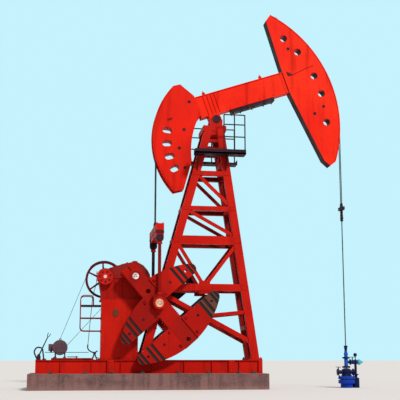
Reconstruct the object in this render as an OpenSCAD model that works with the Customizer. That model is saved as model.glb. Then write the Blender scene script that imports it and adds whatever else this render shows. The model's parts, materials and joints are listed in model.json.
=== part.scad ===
// Dual-horsehead beam pumping unit on its concrete foundation.
// X points to the well, Y away from the viewer, Z up; the origin is on the
// ground under the saddle bearing.

/* [Main layout] */
// Height of the saddle bearing above the ground
pivot_h = 8770; // [8600:10:8900]
// Tilt of the walking beam at rest, front end up
beam_tilt = 19; // [16:1:21]
// Crankshaft axis behind the saddle bearing
shaft_back = 2670; // [2650:5:2690]
// Crankshaft axis above the ground
shaft_h = 3450; // [3440:5:3500]
// Crank radius at the wrist pin
crank_throw = 1110; // [1080:5:1120]
// Angle of the cranks below level at rest
crank_drop = 49; // [45:1:52]

/* [Foundation and skid] */
// Length of the concrete foundation
foundation_l = 7300; // [7280:10:7400]
// Width of the concrete foundation
foundation_w = 2500; // [2300:20:2700]
// Height of the concrete foundation
foundation_h = 480; // [460:5:500]
// Front edge of the foundation before the saddle
foundation_front = 1450; // [1430:10:1500]
// Depth of the skid rails
skid_h = 410; // [400:5:420]
// Width of one skid rail's flanges
skid_flange_w = 130; // [110:5:140]
// Outer width of the skid
skid_w = 1200; // [1190:5:1205]
// Rear end of the skid behind the saddle
skid_back = 5650; // [5620:10:5700]
// Front end of the skid before the saddle
skid_front = 1390; // [1380:5:1400]
// Thickness of the skid rails' flanges and webs
skid_t = 18; // [12:1:20]

/* [Derrick] */
// Distance between the middles of the two side frames
derrick_gap = 960; // [950:5:970]
// Width of the leg channels across the machine
leg_y = 160; // [140:5:165]
// Depth of the leg channels in the side frame
leg_w = 250; // [220:5:260]
// Plate thickness of legs and bracing
leg_t = 16; // [10:1:18]
// Saddle bearing's axis above the derrick's cap
bearing_h = 270; // [260:5:290]
// Thickness of the derrick's cap
cap_t = 200; // [180:5:220]
// Work deck below the top of the legs
deck_drop = 800; // [760:10:840]
// Front leg's middle line at its top
front_top = 90; // [80:5:100]
// Front leg's middle line at the skid
front_foot = 1180; // [1150:5:1200]
// Rear leg's middle line at its top, behind the saddle
rear_top = 320; // [300:5:330]
// Rear leg's middle line at the skid, behind the saddle
rear_foot = 2370; // [2340:5:2380]
// Width of the thin diagonals
brace_w = 110; // [80:5:120]

/* [Walking beam and heads] */
// Depth of the walking beam
beam_d = 750; // [700:10:760]
// Width of the walking beam
beam_w = 360; // [320:10:400]
// Underside of the beam above the saddle bearing
beam_over = 210; // [205:1:220]
// Front end of the beam from the saddle
beam_front = 2760; // [2700:10:2800]
// Rear end of the beam behind the saddle
beam_back = 450; // [430:10:480]
// Radius of the front head's face
front_r = 4300; // [4280:5:4320]
// Thickness of the front head
front_head_t = 400; // [360:10:420]
// Radius of the rear head's curved back
rear_r = 2650; // [2640:5:2660]
// Thickness of the rear head
rear_head_t = 460; // [440:10:480]
// Radius of the large holes in the front head
head_hole_r = 122; // [100:2:130]

/* [Crank and weights] */
// Width of the crank
crank_w = 510; // [480:10:520]
// Thickness of the crank
crank_t = 220; // [180:10:240]
// Crank length from the shaft to its far end
crank_l = 2720; // [2700:10:2740]
// Crank length behind the shaft
crank_tail = 390; // [360:10:400]
// Middle of the crank to the middle of the machine
crank_y = 790; // [785:5:795]
// Thickness of the counterweights
weight_t = 300; // [260:5:300]
// Outer sweep radius of the outer counterweights
weight_r = 2720; // [2700:10:2740]
// Straight edge of the outer counterweights from the shaft
weight_in = 1900; // [1880:10:1920]
// Radius of a counterweight's rounded tip
weight_tip_r = 180; // [160:5:190]
// Radius of the crankshaft
shaft_r = 150; // [130:5:160]
// Radius of the wrist pin
pin_r = 95; // [80:5:100]
// Clearance of a shaft or pin in its hole
fit = 0.05; // [0.03:0.01:0.08]

/* [Pitmans and equalizer] */
// Middle of the pitman to the middle of the machine
pitman_y = 1050; // [1048:1:1056]
// Radius of the pitman rod
pitman_r = 52; // [40:2:60]
// Wrist pin to the underside of the equalizer
pitman_l = 2270; // [2260:5:2280]
// Width of the equalizer
equalizer_w = 250; // [245:5:260]
// Depth of the equalizer
equalizer_d = 210; // [190:5:220]
// Length of the equalizer across the machine
equalizer_l = 2300; // [2290:2:2310]
// Thickness of the wrist pin bearing housing
housing_t = 170; // [150:2:176]

/* [Gearbox and drive] */
// Width of the gearbox
gearbox_w = 780; // [740:10:790]
// Underside of the gearbox above the ground
gearbox_foot_h = 2750; // [2740:5:2800]
// Input shaft behind the crankshaft
input_back = 920; // [900:5:930]
// Radius of the belt wheel
wheel_r = 600; // [580:5:610]
// Width of the belt wheel and of the motor pulley
wheel_w = 110; // [100:2:120]
// Middle of the belt wheel and of the brake drum across the machine
wheel_y = 500; // [498:1:505]
// Radius of the brake drum
drum_r = 250; // [220:5:260]
// Radius of the input shaft
input_r = 55; // [45:1:60]
// Motor shaft behind the saddle
motor_back = 4930; // [4900:5:4950]
// Motor shaft above the ground
motor_h = 1270; // [1260:5:1280]
// Radius of the motor's body
motor_r = 235; // [220:5:240]
// Radius of the motor pulley
pulley_r = 110; // [100:2:120]
// Thickness of the belts
belt_t = 14; // [10:1:18]

/* [Ropes and well] */
// Diameter of one strand of the drive rope
rope_d = 50; // [40:2:54]
// Diameter of one strand of the bridle
bridle_d = 30; // [24:1:34]
// Spacing of the two strands of each rope
strand_gap = 120; // [110:5:140]
// Top of the carrier bar above the ground
carrier_h = 5960; // [5900:10:6000]
// Radius of the polished rod
rod_r = 19; // [16:1:22]
// Top of the wellhead above the ground
wellhead_h = 1350; // [1300:10:1400]

/* [Hidden] */
$fn = 48;

red = "#d8200c";
dark_red = "#a8140c";
black = "#26242a";
steel = "#8d8f94";
blue = "#1d4fb0";

skid_top = foundation_h + skid_h;
legs_top = pivot_h - bearing_h - cap_t;
side_y = derrick_gap / 2;
pin_x = -shaft_back + crank_throw * cos(crank_drop);
pin_z = shaft_h - crank_throw * sin(crank_drop);
equalizer_z = pin_z + pitman_l;
input_x = -shaft_back - input_back;
crank_in = crank_y - crank_t / 2;
crank_out = crank_y + crank_t / 2;
shaft_end = 15;
weight_out = crank_y + weight_t / 2;
gap = 0.3;

// middle lines of the legs at height z
function front_x(z) =
    front_foot + (front_top - front_foot) * (z - skid_top) / (legs_top - skid_top);
function rear_x(z) =
    -rear_foot + (rear_foot - rear_top) * (z - skid_top) / (legs_top - skid_top);
// points of an arc of radius r about c from angle a to b in n steps
function arc(c, r, a, b, n) =
    [for (i = [0 : n]) let (w = a + (b - a) * i / n) [c[0] + r * cos(w), c[1] + r * sin(w)]];

// a profile drawn in X and Z, made t thick about y
module plate_y(y, t) {
    translate([0, y + t / 2, 0]) rotate([90, 0, 0]) linear_extrude(t) children();
}
// a round bar along Y from y0 to y1 at x, z
module rod_y(x, z, r, y0, y1) {
    translate([x, y1, z]) rotate([90, 0, 0]) cylinder(r = r, h = y1 - y0);
}
// a round pipe between two points in space
module pipe(p, q, r) {
    d = q - p;
    translate(p) rotate([0, acos(d[2] / norm(d)), atan2(d[1], d[0])])
        cylinder(r = r, h = norm(d), $fn = 16);
}
// places children in the frame of the tilted walking beam, at the saddle bearing
module on_beam() {
    translate([0, 0, pivot_h]) rotate([0, -beam_tilt, 0]) children();
}
// places children in the frame of the cranks, at the crankshaft
module on_crank() {
    translate([-shaft_back, 0, shaft_h]) rotate([0, crank_drop, 0]) children();
}

// Foundation and skid

module foundation() {
    color("#b8aaa2")
        translate([foundation_front - foundation_l, -foundation_w / 2, 0])
            cube([foundation_l, foundation_w, foundation_h]);
}

stiffener_x = [-4900, -3960, -3070, -2100, -1100, -230, 640];
stiffener_t = 16;
rail_web_y = skid_w / 2 - skid_flange_w / 2;

module skid_rail(side) {
    l = skid_front + skid_back;
    translate([-skid_back, side * rail_web_y, foundation_h]) {
        translate([0, -skid_flange_w / 2, 0]) cube([l, skid_flange_w, skid_t]);
        translate([0, -skid_flange_w / 2, skid_h - skid_t]) cube([l, skid_flange_w, skid_t]);
        translate([0, -skid_t / 2, 0]) cube([l, skid_t, skid_h]);
    }
    for (x = stiffener_x)
        translate([x, side * rail_web_y - skid_flange_w / 2, foundation_h])
            cube([stiffener_t, skid_flange_w, skid_h]);
}

module skid_rails() {
    color(red) for (side = [-1, 1]) skid_rail(side);
}

cross_x = [-5560, -4500, -3600, -2750, -1600, -600, 300, 1250];
cross_w = 120;

module skid_cross_members() {
    inner = rail_web_y - skid_flange_w / 2;
    web = rail_web_y - skid_t / 2;
    color(red) for (x = cross_x) translate([x, 0, foundation_h]) {
        translate([0, -web, skid_t]) cube([cross_w, 2 * web, skid_h - 2 * skid_t]);
        translate([0, -inner, 0]) cube([cross_w, 2 * inner, skid_h]);
    }
}

// Gearbox, its pedestal and the drive

pedestal_w = gearbox_w;
pedestal_back = 3680;
pedestal_front = 2530;
pedestal_flange = 40;
base_back = 80;
base_out = 30;
base_t = 30;
// the base plate stops short of the derrick's rear feet
base_short = 60;
flange_back = 60;
seam_x = 780;
seam_w = 20;
seam_t = 24;
gearbox_front = 2150;

module gearbox_pedestal() {
    l = pedestal_back - pedestal_front;
    h = gearbox_foot_h - skid_top;
    color(red) translate([-pedestal_back, 0, skid_top]) {
        translate([0, -pedestal_w / 2, 0]) cube([l, pedestal_w, h]);
        translate([-base_back, -pedestal_w / 2 - base_out, 0])
            cube([l + base_back - base_short, pedestal_w + 2 * base_out, base_t]);
        translate([-flange_back, -pedestal_w / 2, h - pedestal_flange])
            cube([pedestal_back - gearbox_front + flange_back, pedestal_w, pedestal_flange]);
        for (side = [-1, 1])
            translate([seam_x, side * pedestal_w / 2 - seam_t / 2, base_t])
                cube([seam_w, seam_t, h - base_t]);
    }
}

foot_flange_t = 60;
foot_flange_back = 40;
// the case's lower corner and the slope of its rear end
case_end_r = 200;
case_end_in = 40;
case_end_h = 260;
split_flange = 28;
case_in = 60;

module gearbox_bores() {
    rod_y(-shaft_back, shaft_h, shaft_r + fit, -gearbox_w, gearbox_w);
    rod_y(input_x, shaft_h, input_r + fit, -gearbox_w, gearbox_w);
}

module gearbox_case() {
    color(dark_red) difference() {
        union() {
            low = gearbox_foot_h + foot_flange_t;
            plate_y(0, gearbox_w - case_in) polygon([
                [input_x - case_end_r, shaft_h],
                [input_x - case_end_r + case_end_in, shaft_h - case_end_h],
                [-pedestal_back, low], [-gearbox_front - 20, low], [-gearbox_front - 20, shaft_h]
            ]);
            translate([-pedestal_back - foot_flange_back, -gearbox_w / 2, gearbox_foot_h])
                cube([pedestal_back - gearbox_front + foot_flange_back, gearbox_w, foot_flange_t]);
            translate([input_x - case_end_r - 20, -gearbox_w / 2, shaft_h - split_flange])
                cube([-input_x + case_end_r - gearbox_front + 40, gearbox_w, split_flange]);
        }
        gearbox_bores();
    }
}

// the cover's top from its rear end to its front end, each point from the split
cover_rear = [[-case_end_r, 90], [-120, 190], [260, 345]];
cover_crest = [[-60, 500], [120, 485], [290, 390], [430, 230]];
cover_end_h = 100;

module gearbox_cover() {
    color(red) difference() {
        union() {
            plate_y(0, gearbox_w - case_in) polygon(concat(
                [[input_x - case_end_r, shaft_h]],
                [for (p = cover_rear) p + [input_x, shaft_h]],
                [for (p = cover_crest) p + [-shaft_back, shaft_h]],
                [[-gearbox_front - 20, shaft_h + cover_end_h], [-gearbox_front - 20, shaft_h]]
            ));
            translate([input_x - case_end_r - 20, -gearbox_w / 2, shaft_h])
                cube([-input_x + case_end_r - gearbox_front + 40, gearbox_w, split_flange]);
        }
        gearbox_bores();
    }
}

// Input shaft with the belt wheel at the far side and the brake drum at the near side

rim_t = 55;
hub_r = 130;
spokes = 6;
spoke_w = 60;
spoke_t = 50;
spoke_turn = 25;
spoke_lap = 20;
drum_hub_r = 70;
drum_hub_out = 25;

module belt_wheel() {
    color(black) {
        difference() {
            rod_y(input_x, shaft_h, wheel_r, wheel_y - wheel_w / 2, wheel_y + wheel_w / 2);
            rod_y(input_x, shaft_h, wheel_r - rim_t, wheel_y - wheel_w, wheel_y + wheel_w);
        }
        rod_y(input_x, shaft_h, hub_r, wheel_y - wheel_w / 2, wheel_y + wheel_w / 2);
        rod_y(input_x, shaft_h, input_r, -wheel_y + wheel_w / 2, wheel_y);
        translate([input_x, wheel_y - spoke_t / 2, shaft_h])
            for (i = [0 : spokes - 1]) rotate([0, i * 360 / spokes + spoke_turn, 0])
                translate([hub_r - spoke_lap, 0, -spoke_w / 2])
                    cube([wheel_r - rim_t - hub_r + 2 * spoke_lap, spoke_t, spoke_w]);
    }
}

module brake_drum() {
    color(red) {
        rod_y(input_x, shaft_h, drum_r, -wheel_y - wheel_w / 2, -wheel_y + wheel_w / 2);
        rod_y(input_x, shaft_h, drum_hub_r, -wheel_y - wheel_w / 2 - drum_hub_out, -wheel_y);
    }
}

motor_front_y = -230;
motor_end_y = 400;
motor_shaft_r = 36;
motor_shaft_l = 40;
cowl_l = 60;
cowl_r = 0.72 * motor_r;
// the motor's feet, then its terminal box behind the body
feet = [380, 380, 110];
feet_in = 80;
terminal = [160, 220, 220];
terminal_lap = 40;
terminal_y = -120;
motor_rail_h = 60;

module motor() {
    color("#5b4650") {
        body_end = motor_end_y - motor_shaft_l;
        rod_y(-motor_back, motor_h, motor_r, motor_front_y, body_end);
        rod_y(-motor_back, motor_h, cowl_r, motor_front_y - cowl_l, motor_front_y);
        rod_y(-motor_back, motor_h, motor_shaft_r, body_end, motor_end_y);
        translate([-motor_back - feet[0] / 2, motor_front_y + feet_in, skid_top + motor_rail_h])
            cube(feet);
        translate([-motor_back - motor_r - terminal[0] + terminal_lap, terminal_y,
            motor_h - terminal[2] / 2]) cube(terminal);
    }
}

motor_rail_y = [-170, 160];
motor_rail = [1240, 70];
motor_rail_back = 260;
motor_cross_x = [-5450, -4560, -3990];
motor_cross = [90, 1080, 40];

module motor_rails() {
    color(red) {
        for (y = motor_rail_y)
            translate([-motor_back - motor_rail_back, y - motor_rail[1] / 2, skid_top])
                cube([motor_rail[0], motor_rail[1], motor_rail_h]);
        for (x = motor_cross_x)
            translate([x, -motor_cross[1] / 2, skid_top]) cube(motor_cross);
    }
}

module motor_pulley() {
    color(black) {
        rod_y(-motor_back, motor_h, pulley_r, wheel_y - wheel_w / 2, wheel_y + wheel_w / 2);
        rod_y(-motor_back, motor_h, motor_shaft_r, motor_end_y, wheel_y);
    }
}

// a closed loop round the belt wheel and the motor pulley, e away from both
module belt_loop(e) {
    hull() {
        translate([input_x, shaft_h]) circle(r = (wheel_r + e) / cos(1.5), $fn = 120);
        translate([-motor_back, motor_h]) circle(r = (pulley_r + e) / cos(3.75), $fn = 48);
    }
}

module drive_belts() {
    color(black) plate_y(wheel_y, wheel_w - 20) difference() {
        belt_loop(gap + belt_t);
        belt_loop(gap);
    }
}

// Derrick

// the level members, down from the top of the legs, and their depths
level_drops = [5140, 3625, 2590, 1430];
h_levels = [for (d = level_drops) legs_top - d];
h_depths = [220, 270, 140, 150];

// the flat outline of a straight bar between two points
module strip(p, q, w) {
    n = [p[1] - q[1], q[0] - p[0]] / norm(q - p) * w / 2;
    polygon([p - n, q - n, q + n, p + n]);
}

// a channel between two points, its web on the outer side, set in from the frame's faces
module channel(p, q, w, side, inset) {
    outer = side_y + leg_y / 2 - inset;
    n = [p[1] - q[1], q[0] - p[0]] / norm(q - p) * (w - leg_t) / 2;
    plate_y(side * (outer - leg_t / 2), leg_t) strip(p, q, w - leg_t);
    plate_y(side * side_y, leg_y - 2 * inset)
        for (s = [-1, 1]) strip(p + s * n, q + s * n, leg_t);
}

level_inset = 6;
level_lap = 30;
leg_run = 100;
brace_t = 50;
brace_y = side_y + leg_y / 2 - brace_t;
gusset_y = side_y + leg_y / 2 - 28;
top_plate_t = 44;
top_plate_y = side_y + leg_y / 2 - 36;
top_plate_d = 130;
// two short bars between the legs above the deck
head_bar_drops = [330, 610];
head_bar_d = 90;
foot_t = 30;
foot_l = 420;
foot_w = 170;
// where the long diagonal leaves the front leg, and the lowest level's distance to its top
diagonal_foot = 530;
diagonal_drop = 200;
strut_x = -500;
strut_drops = [910, 760];
// how far off a level member's middle line the braces end
brace_near = 20;
brace_high = 30;
brace_low = 40;
brace_far = 90;
long_brace_w = brace_w + 30;
// the plates at the middle of the lowest level and at the long diagonal's top
mid_gusset_w = 360;
mid_gusset_d = h_depths[0] + 200;
high_gusset_w = 420;
high_gusset_d = 300;
high_gusset_in = 60;

module gusset(c, w, h, side) {
    plate_y(side * gusset_y, leg_t) translate([c[0] - w / 2, c[1] - h / 2]) square([w, h]);
}

module derrick_side(side) {
    z = h_levels;
    // the legs run past both ends and are cut level afterwards
    low_end = skid_top - leg_run;
    top_end = legs_top + leg_run;
    channel([front_x(low_end), low_end], [front_x(top_end), top_end], leg_w, side, 0);
    channel([rear_x(low_end), low_end], [rear_x(top_end), top_end], leg_w, side, 0);
    for (i = [0 : 3])
        channel([rear_x(z[i]) - level_lap, z[i]], [front_x(z[i]) + level_lap, z[i]],
            h_depths[i], side, level_inset);
    for (d = head_bar_drops)
        channel([rear_x(legs_top - d), legs_top - d], [front_x(legs_top - d), legs_top - d],
            head_bar_d, side, level_inset);
    // top plate joining the legs under the cap
    plate_low = legs_top - top_plate_d;
    plate_y(side * top_plate_y, top_plate_t) polygon([
        [rear_x(plate_low), plate_low], [front_x(plate_low), plate_low],
        [front_x(legs_top), legs_top], [rear_x(legs_top), legs_top]
    ]);
    for (x = [front_foot, -rear_foot])
        translate([x - foot_l / 2, side * side_y - foot_w / 2, skid_top])
            cube([foot_l, foot_w, foot_t]);
    mid = (rear_x(z[0]) + front_x(z[0])) / 2;
    low_z = skid_top + diagonal_foot;
    high_z = z[0] - diagonal_drop;
    plate_y(side * brace_y, brace_t) {
        // one falling diagonal in the bay below the second level
        strip([rear_x(z[2]), z[2] - brace_low], [front_x(z[1]), z[1] + brace_far], brace_w);
        // a V that meets the middle of the lowest level
        strip([rear_x(z[1]), z[1] - brace_far], [mid, z[0] + brace_near], brace_w);
        strip([front_x(z[1]), z[1] - brace_far], [mid, z[0] + brace_near], brace_w);
        // upper bays
        strip([rear_x(z[3]), z[3]], [front_x(z[2]), z[2] + brace_high], brace_w);
        // long falling diagonal of the lowest bay and its short strut
        strip([rear_x(high_z), high_z], [front_x(low_z), low_z], long_brace_w);
        strip([strut_x, z[0] - strut_drops[0]],
            [front_x(z[0] - strut_drops[1]), z[0] - strut_drops[1]], brace_w);
    }
    gusset([mid, z[0]], mid_gusset_w, mid_gusset_d, side);
    gusset([rear_x(high_z) + high_gusset_in, high_z], high_gusset_w, high_gusset_d, side);
}

// what would reach under the skid or above the cap is cut away
module level_cut(side) {
    intersection() {
        derrick_side(side);
        translate([-2 * rear_foot, side * side_y - leg_y, skid_top])
            cube([2 * (rear_foot + front_foot), 2 * leg_y, legs_top - skid_top]);
    }
}

module derrick_side_near() {
    color(red) level_cut(-1);
}

module derrick_side_far() {
    color(red) level_cut(1);
}

low_tie = 1010;
top_tie_drop = 1100;
tie_levels = [skid_top + low_tie, h_levels[0], h_levels[1], h_levels[2]];
tie_d = 120;
tie_w = leg_w + 40;

// ties across the machine between the inner sides of the legs
module derrick_cross_ties() {
    inner = side_y - leg_y / 2;
    color(dark_red) {
        for (z = tie_levels, f = [0, 1]) {
            x = f == 0 ? rear_x(z) : front_x(z);
            translate([x - tie_w / 2, -inner, z - tie_d / 2]) cube([tie_w, 2 * inner, tie_d]);
        }
        z_top = legs_top - top_tie_drop;
        translate([front_x(z_top) - tie_w / 2, -inner, z_top - tie_d / 2])
            cube([tie_w, 2 * inner, tie_d]);
    }
}

cap_w = 1120;
cap_l = 760;
cap_back = 480;
pad_t = 25;
pad_w = 660;
pad_inset = 60;
cap_top = legs_top + cap_t;

module derrick_cap() {
    color(red) {
        translate([-cap_back, -cap_w / 2, legs_top]) cube([cap_l, cap_w, cap_t - pad_t]);
        translate([-cap_back + pad_inset, -pad_w / 2, cap_top - pad_t])
            cube([cap_l - 2 * pad_inset, pad_w, pad_t]);
    }
}

saddle_r = 90;
bearing_y = 250;
bearing_t = 110;
bearing_r = 170;
bearing_l = 400;
bearing_foot_l = 560;
bearing_foot_t = 60;

// two split bearing housings under the beam that hold the saddle shaft
module saddle_bearing() {
    color(black) difference() {
        union() for (side = [-1, 1]) {
            y0 = side * bearing_y - bearing_t / 2;
            rod_y(0, pivot_h, bearing_r, y0, y0 + bearing_t);
            translate([-bearing_l / 2, y0, cap_top]) cube([bearing_l, bearing_t, bearing_h]);
            translate([-bearing_foot_l / 2, y0, cap_top])
                cube([bearing_foot_l, bearing_t, bearing_foot_t]);
        }
        rod_y(0, pivot_h, saddle_r + fit, -2 * bearing_y, 2 * bearing_y);
    }
}

// Work deck round the derrick's head

deck_top = legs_top - deck_drop;
deck_t = 60;
deck_back = 800;
deck_front = 860;
deck_y = 950;
bracket_t = 16;
bracket_in = 60;
bracket_leg = 40;

module deck(side) {
    y0 = side_y + leg_y / 2;
    translate([-deck_back, side > 0 ? y0 : -deck_y, deck_top - deck_t])
        cube([deck_back + deck_front, deck_y - y0, deck_t]);
    // brackets let into the deck's underside, against the outer faces of the legs
    z = h_levels[3];
    for (x = [rear_x(z) + bracket_leg, front_x(z) - bracket_leg])
        translate([x + bracket_t / 2, 0, 0]) rotate([0, -90, 0]) linear_extrude(bracket_t)
            polygon([
                [z + bracket_in, side * y0], [deck_top - deck_t / 2, side * y0],
                [deck_top - deck_t / 2, side * (deck_y - bracket_in)],
                [deck_top - 2 * deck_t, side * (deck_y - bracket_in)]
            ]);
}

module deck_near() {
    color(red) deck(-1);
}

module deck_far() {
    color(red) deck(1);
}

rail_r = 20;
rail_heights = [520, 930, 1260];
rail_inset = 25;
rail_end = 30;
near_rail_x = 140;

// three posts and three rails from x0 to x1 along the outer edge of a deck
module railing(x0, x1, side) {
    y = side * (deck_y - rail_inset);
    for (x = [x0, (x0 + x1) / 2, x1])
        pipe([x, y, deck_top], [x, y, deck_top + rail_heights[2]], rail_r);
    for (h = rail_heights) pipe([x0, y, deck_top + h], [x1, y, deck_top + h], rail_r);
}

module railing_near() {
    color(red) railing(near_rail_x, deck_front - rail_end, -1);
}

module railing_far() {
    color(red) railing(-deck_back + rail_end, deck_front - rail_end, 1);
}

// Service frame: a step and rails that hang on the back of the pedestal

frame_l = 650;
frame_x0 = -pedestal_back - frame_l;
hoop_l = 400;
frame_r = 22;
frame_ys = [-330, 210];
// heights of the two lower rails and of the hoop's top above the skid, and of the step
frame_rails = [890, 1290];
hoop_top = 1990;
step_z = 1650;
step_t = 45;

module service_frame() {
    w = frame_ys[1] - frame_ys[0];
    top = skid_top + hoop_top;
    color(dark_red) {
        for (y = frame_ys) {
            pipe([frame_x0, y, skid_top + frame_rails[0]], [frame_x0, y, top], frame_r);
            pipe([frame_x0 + hoop_l, y, skid_top + step_z], [frame_x0 + hoop_l, y, top], frame_r);
            pipe([frame_x0, y, top], [frame_x0 + hoop_l, y, top], frame_r);
            for (h = frame_rails)
                pipe([frame_x0, y, skid_top + h], [-pedestal_back, y, skid_top + h], frame_r);
        }
        translate([frame_x0, frame_ys[0], skid_top + step_z]) cube([frame_l, w, step_t]);
        for (h = frame_rails)
            pipe([frame_x0, frame_ys[0], skid_top + h], [frame_x0, frame_ys[1], skid_top + h],
                frame_r);
    }
}

// Brake lever and its stand at the rear end of the skid

lever_x = -5560;
lever_y = -480;
lever_z = skid_top + 120;
lever_l = 760;
lever_lean = 24;
lever_pin_r = 14;
lever_hub_r = 45;
cheek_y = 35;
cheek_t = 20;
cheek_w = 120;
cheek_h = 190;
bellcrank_l = 160;
bellcrank_w = 90;
bellcrank_h = 150;
linkage_r = 12;

module brake_stand() {
    bell_x = -pedestal_back - bellcrank_l;
    color(red) {
        difference() {
            union() for (s = [-1, 1])
                translate([lever_x - cheek_w / 2, lever_y + s * cheek_y - cheek_t / 2, skid_top])
                    cube([cheek_w, cheek_t, cheek_h]);
            rod_y(lever_x, lever_z, lever_pin_r + fit, lever_y - cheek_w, lever_y + cheek_w);
        }
        // bellcrank stand beside the pedestal, with the rods to the lever and to the drum
        translate([bell_x, lever_y - bellcrank_w / 2, skid_top])
            cube([bellcrank_l, bellcrank_w, bellcrank_h]);
        pipe([bell_x + 60, lever_y, skid_top + bellcrank_h],
            [-pedestal_back - 20, lever_y, shaft_h - drum_r - 50], linkage_r + 2);
        pipe([lever_x + 180, lever_y, skid_top + 90], [bell_x, lever_y, skid_top + 90],
            linkage_r);
    }
}

module brake_lever() {
    a = lever_lean;
    color(dark_red) {
        difference() {
            rod_y(lever_x, lever_z, lever_hub_r, lever_y - cheek_t, lever_y + cheek_t);
            rod_y(lever_x, lever_z, lever_pin_r - 4, lever_y - cheek_w, lever_y + cheek_w);
        }
        rod_y(lever_x, lever_z, lever_pin_r, lever_y - 60, lever_y + 60);
        pipe([lever_x + 40 * sin(a), lever_y, lever_z + 40 * cos(a)],
            [lever_x + lever_l * sin(a), lever_y, lever_z + lever_l * cos(a)], 16);
    }
}

// Cranks, weights and wrist pins

collar_r = 225;

module crankshaft() {
    color(steel) {
        rod_y(-shaft_back, shaft_h, shaft_r, -crank_out - shaft_end, crank_out + shaft_end);
        // collars between the gearbox and the cranks
        y0 = gearbox_w / 2 + shaft_end;
        y1 = crank_in - 1;
        for (s = [-1, 1])
            rod_y(-shaft_back, shaft_h, collar_r, min(s * y0, s * y1), max(s * y0, s * y1));
    }
}

slit_w = 30;
slit_run = 40;
spare_hole_r = 70;
spare_u = 610;
end_hole_u = 2540;

module crank(side) {
    on_crank() plate_y(side * crank_y, crank_t) difference() {
        translate([-crank_tail, -crank_w / 2]) square([crank_l + crank_tail, crank_w]);
        circle(r = shaft_r + fit);
        translate([-crank_tail - 1, -slit_w / 2]) square([crank_tail - shaft_r + slit_run, slit_w]);
        translate([crank_throw, 0]) circle(r = pin_r + fit);
        translate([spare_u, 0]) circle(r = spare_hole_r);
        translate([end_hole_u, 0]) circle(r = spare_hole_r);
    }
}

module crank_near() {
    color(red) crank(-1);
}

module crank_far() {
    color(red) crank(1);
}

// distance of the inner counterweights' straight edge from the shaft, on each side
inner_edges = [1130, 1470];
tip_u = weight_in + weight_tip_r;
tip_v = sqrt(pow(weight_r - weight_tip_r, 2) - pow(tip_u, 2));
tip_angle = atan2(tip_v, tip_u);
base_v = crank_w / 2;
weight_hole_v = [690, 1300];
weight_hole_r = 45;
weight_hole_in = 340;
groove_w = 95;
groove_d = 28;
groove_v = [944, 1114, 1384, 1514];

// one counterweight: a straight inner edge, an outer arc about the shaft and a round tip
module weight_outline() {
    difference() {
        polygon(concat(
            [[weight_in, base_v]],
            arc([0, 0], weight_r, asin(base_v / weight_r), tip_angle, 8),
            arc([tip_u, tip_v], weight_tip_r, tip_angle + 10, 180, 8)
        ));
        for (v = weight_hole_v)
            translate([weight_in + weight_hole_in - 0.08 * v, v]) circle(r = weight_hole_r);
    }
}

module weight(side) {
    difference() {
        plate_y(side * crank_y, weight_t) weight_outline();
        for (v = groove_v)
            translate([weight_in - 10, side * (weight_out - groove_d / 2 + 5) - groove_d / 2 - 5, v])
                cube([weight_r, groove_d + 10, groove_w]);
    }
}

// a weight turned so that its arc faces the shaft, with its straight edge at u
module inner_weight(side, u) {
    translate([u + weight_in, 0, 0]) mirror([1, 0, 0]) weight(side);
}

module counterweights(side, edges) {
    on_crank() {
        weight(side);
        inner_weight(side, edges[0]);
        mirror([0, 0, 1]) {
            weight(side);
            inner_weight(side, edges[1]);
        }
    }
}

module counterweights_near() {
    color(red) counterweights(-1, inner_edges);
}

module counterweights_far() {
    color(red) counterweights(1, [inner_edges[1], inner_edges[0]]);
}

pin_cap_r = 125;
pin_cap_t = 32;
housing_out = pitman_y + housing_t / 2;

// each wrist pin is held in its crank and runs out through the pitman's bearing
module wrist_pins() {
    y0 = crank_in + 4;
    y1 = housing_out + gap;
    color(steel) for (s = [-1, 1])
        rod_y(pin_x, pin_z, pin_r, min(s * y0, s * y1), max(s * y0, s * y1));
}

// the plates on the ends of the wrist pins that hold the pitmans on
module wrist_pin_caps() {
    y0 = housing_out + gap;
    y1 = housing_out + pin_cap_t;
    color("#d8a878") for (s = [-1, 1])
        rod_y(pin_x, pin_z, pin_cap_r, min(s * y0, s * y1), max(s * y0, s * y1));
}

housing_r = 200;
housing_top = 260;
head_block_h = 370;
head_block_l = 240;
head_block_w = 150;
head_bearing_r = 120;
rod_lap = 60;

module pitman(side) {
    y = side * pitman_y;
    head_z = equalizer_z - head_block_h + head_bearing_r;
    difference() {
        union() {
            rod_y(pin_x, pin_z, housing_r, y - housing_t / 2, y + housing_t / 2);
            translate([pin_x - housing_r + 10, y - housing_t / 2, pin_z])
                cube([2 * housing_r - 20, housing_t, housing_top]);
            translate([pin_x, y, pin_z + housing_top - rod_lap])
                cylinder(r = pitman_r, h = head_z - pin_z - housing_top + rod_lap);
            translate([pin_x - head_block_l / 2, y - head_block_w / 2, head_z])
                cube([head_block_l, head_block_w, equalizer_z - head_z]);
            rod_y(pin_x, head_z, head_bearing_r, y - head_block_w / 2, y + head_block_w / 2);
        }
        rod_y(pin_x, pin_z, pin_r + fit, y - housing_t, y + housing_t);
    }
}

module pitman_near() {
    color(dark_red) pitman(-1);
}

module pitman_far() {
    color(black) pitman(1);
}

lower_box_h = 150;
lower_box_in = 110;

module equalizer() {
    color(red) {
        translate([pin_x - equalizer_w / 2, -equalizer_l / 2, equalizer_z])
            cube([equalizer_w, equalizer_l, equalizer_d]);
        translate([pin_x - equalizer_w / 2 + 20, lower_box_in - pitman_y, equalizer_z - lower_box_h])
            cube([equalizer_w - 40, 2 * (pitman_y - lower_box_in), lower_box_h]);
    }
}

// Walking beam, heads and ropes

beam_top = beam_over + beam_d;
beam_t = 24;
beam_web_in = 30;
rib_a = [-160, -20, 110, 240];
rib_t = 16;
block_l = 380;
lug_a = [-120, 1950];
lug_s = 110;
lug_t = 24;

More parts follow.
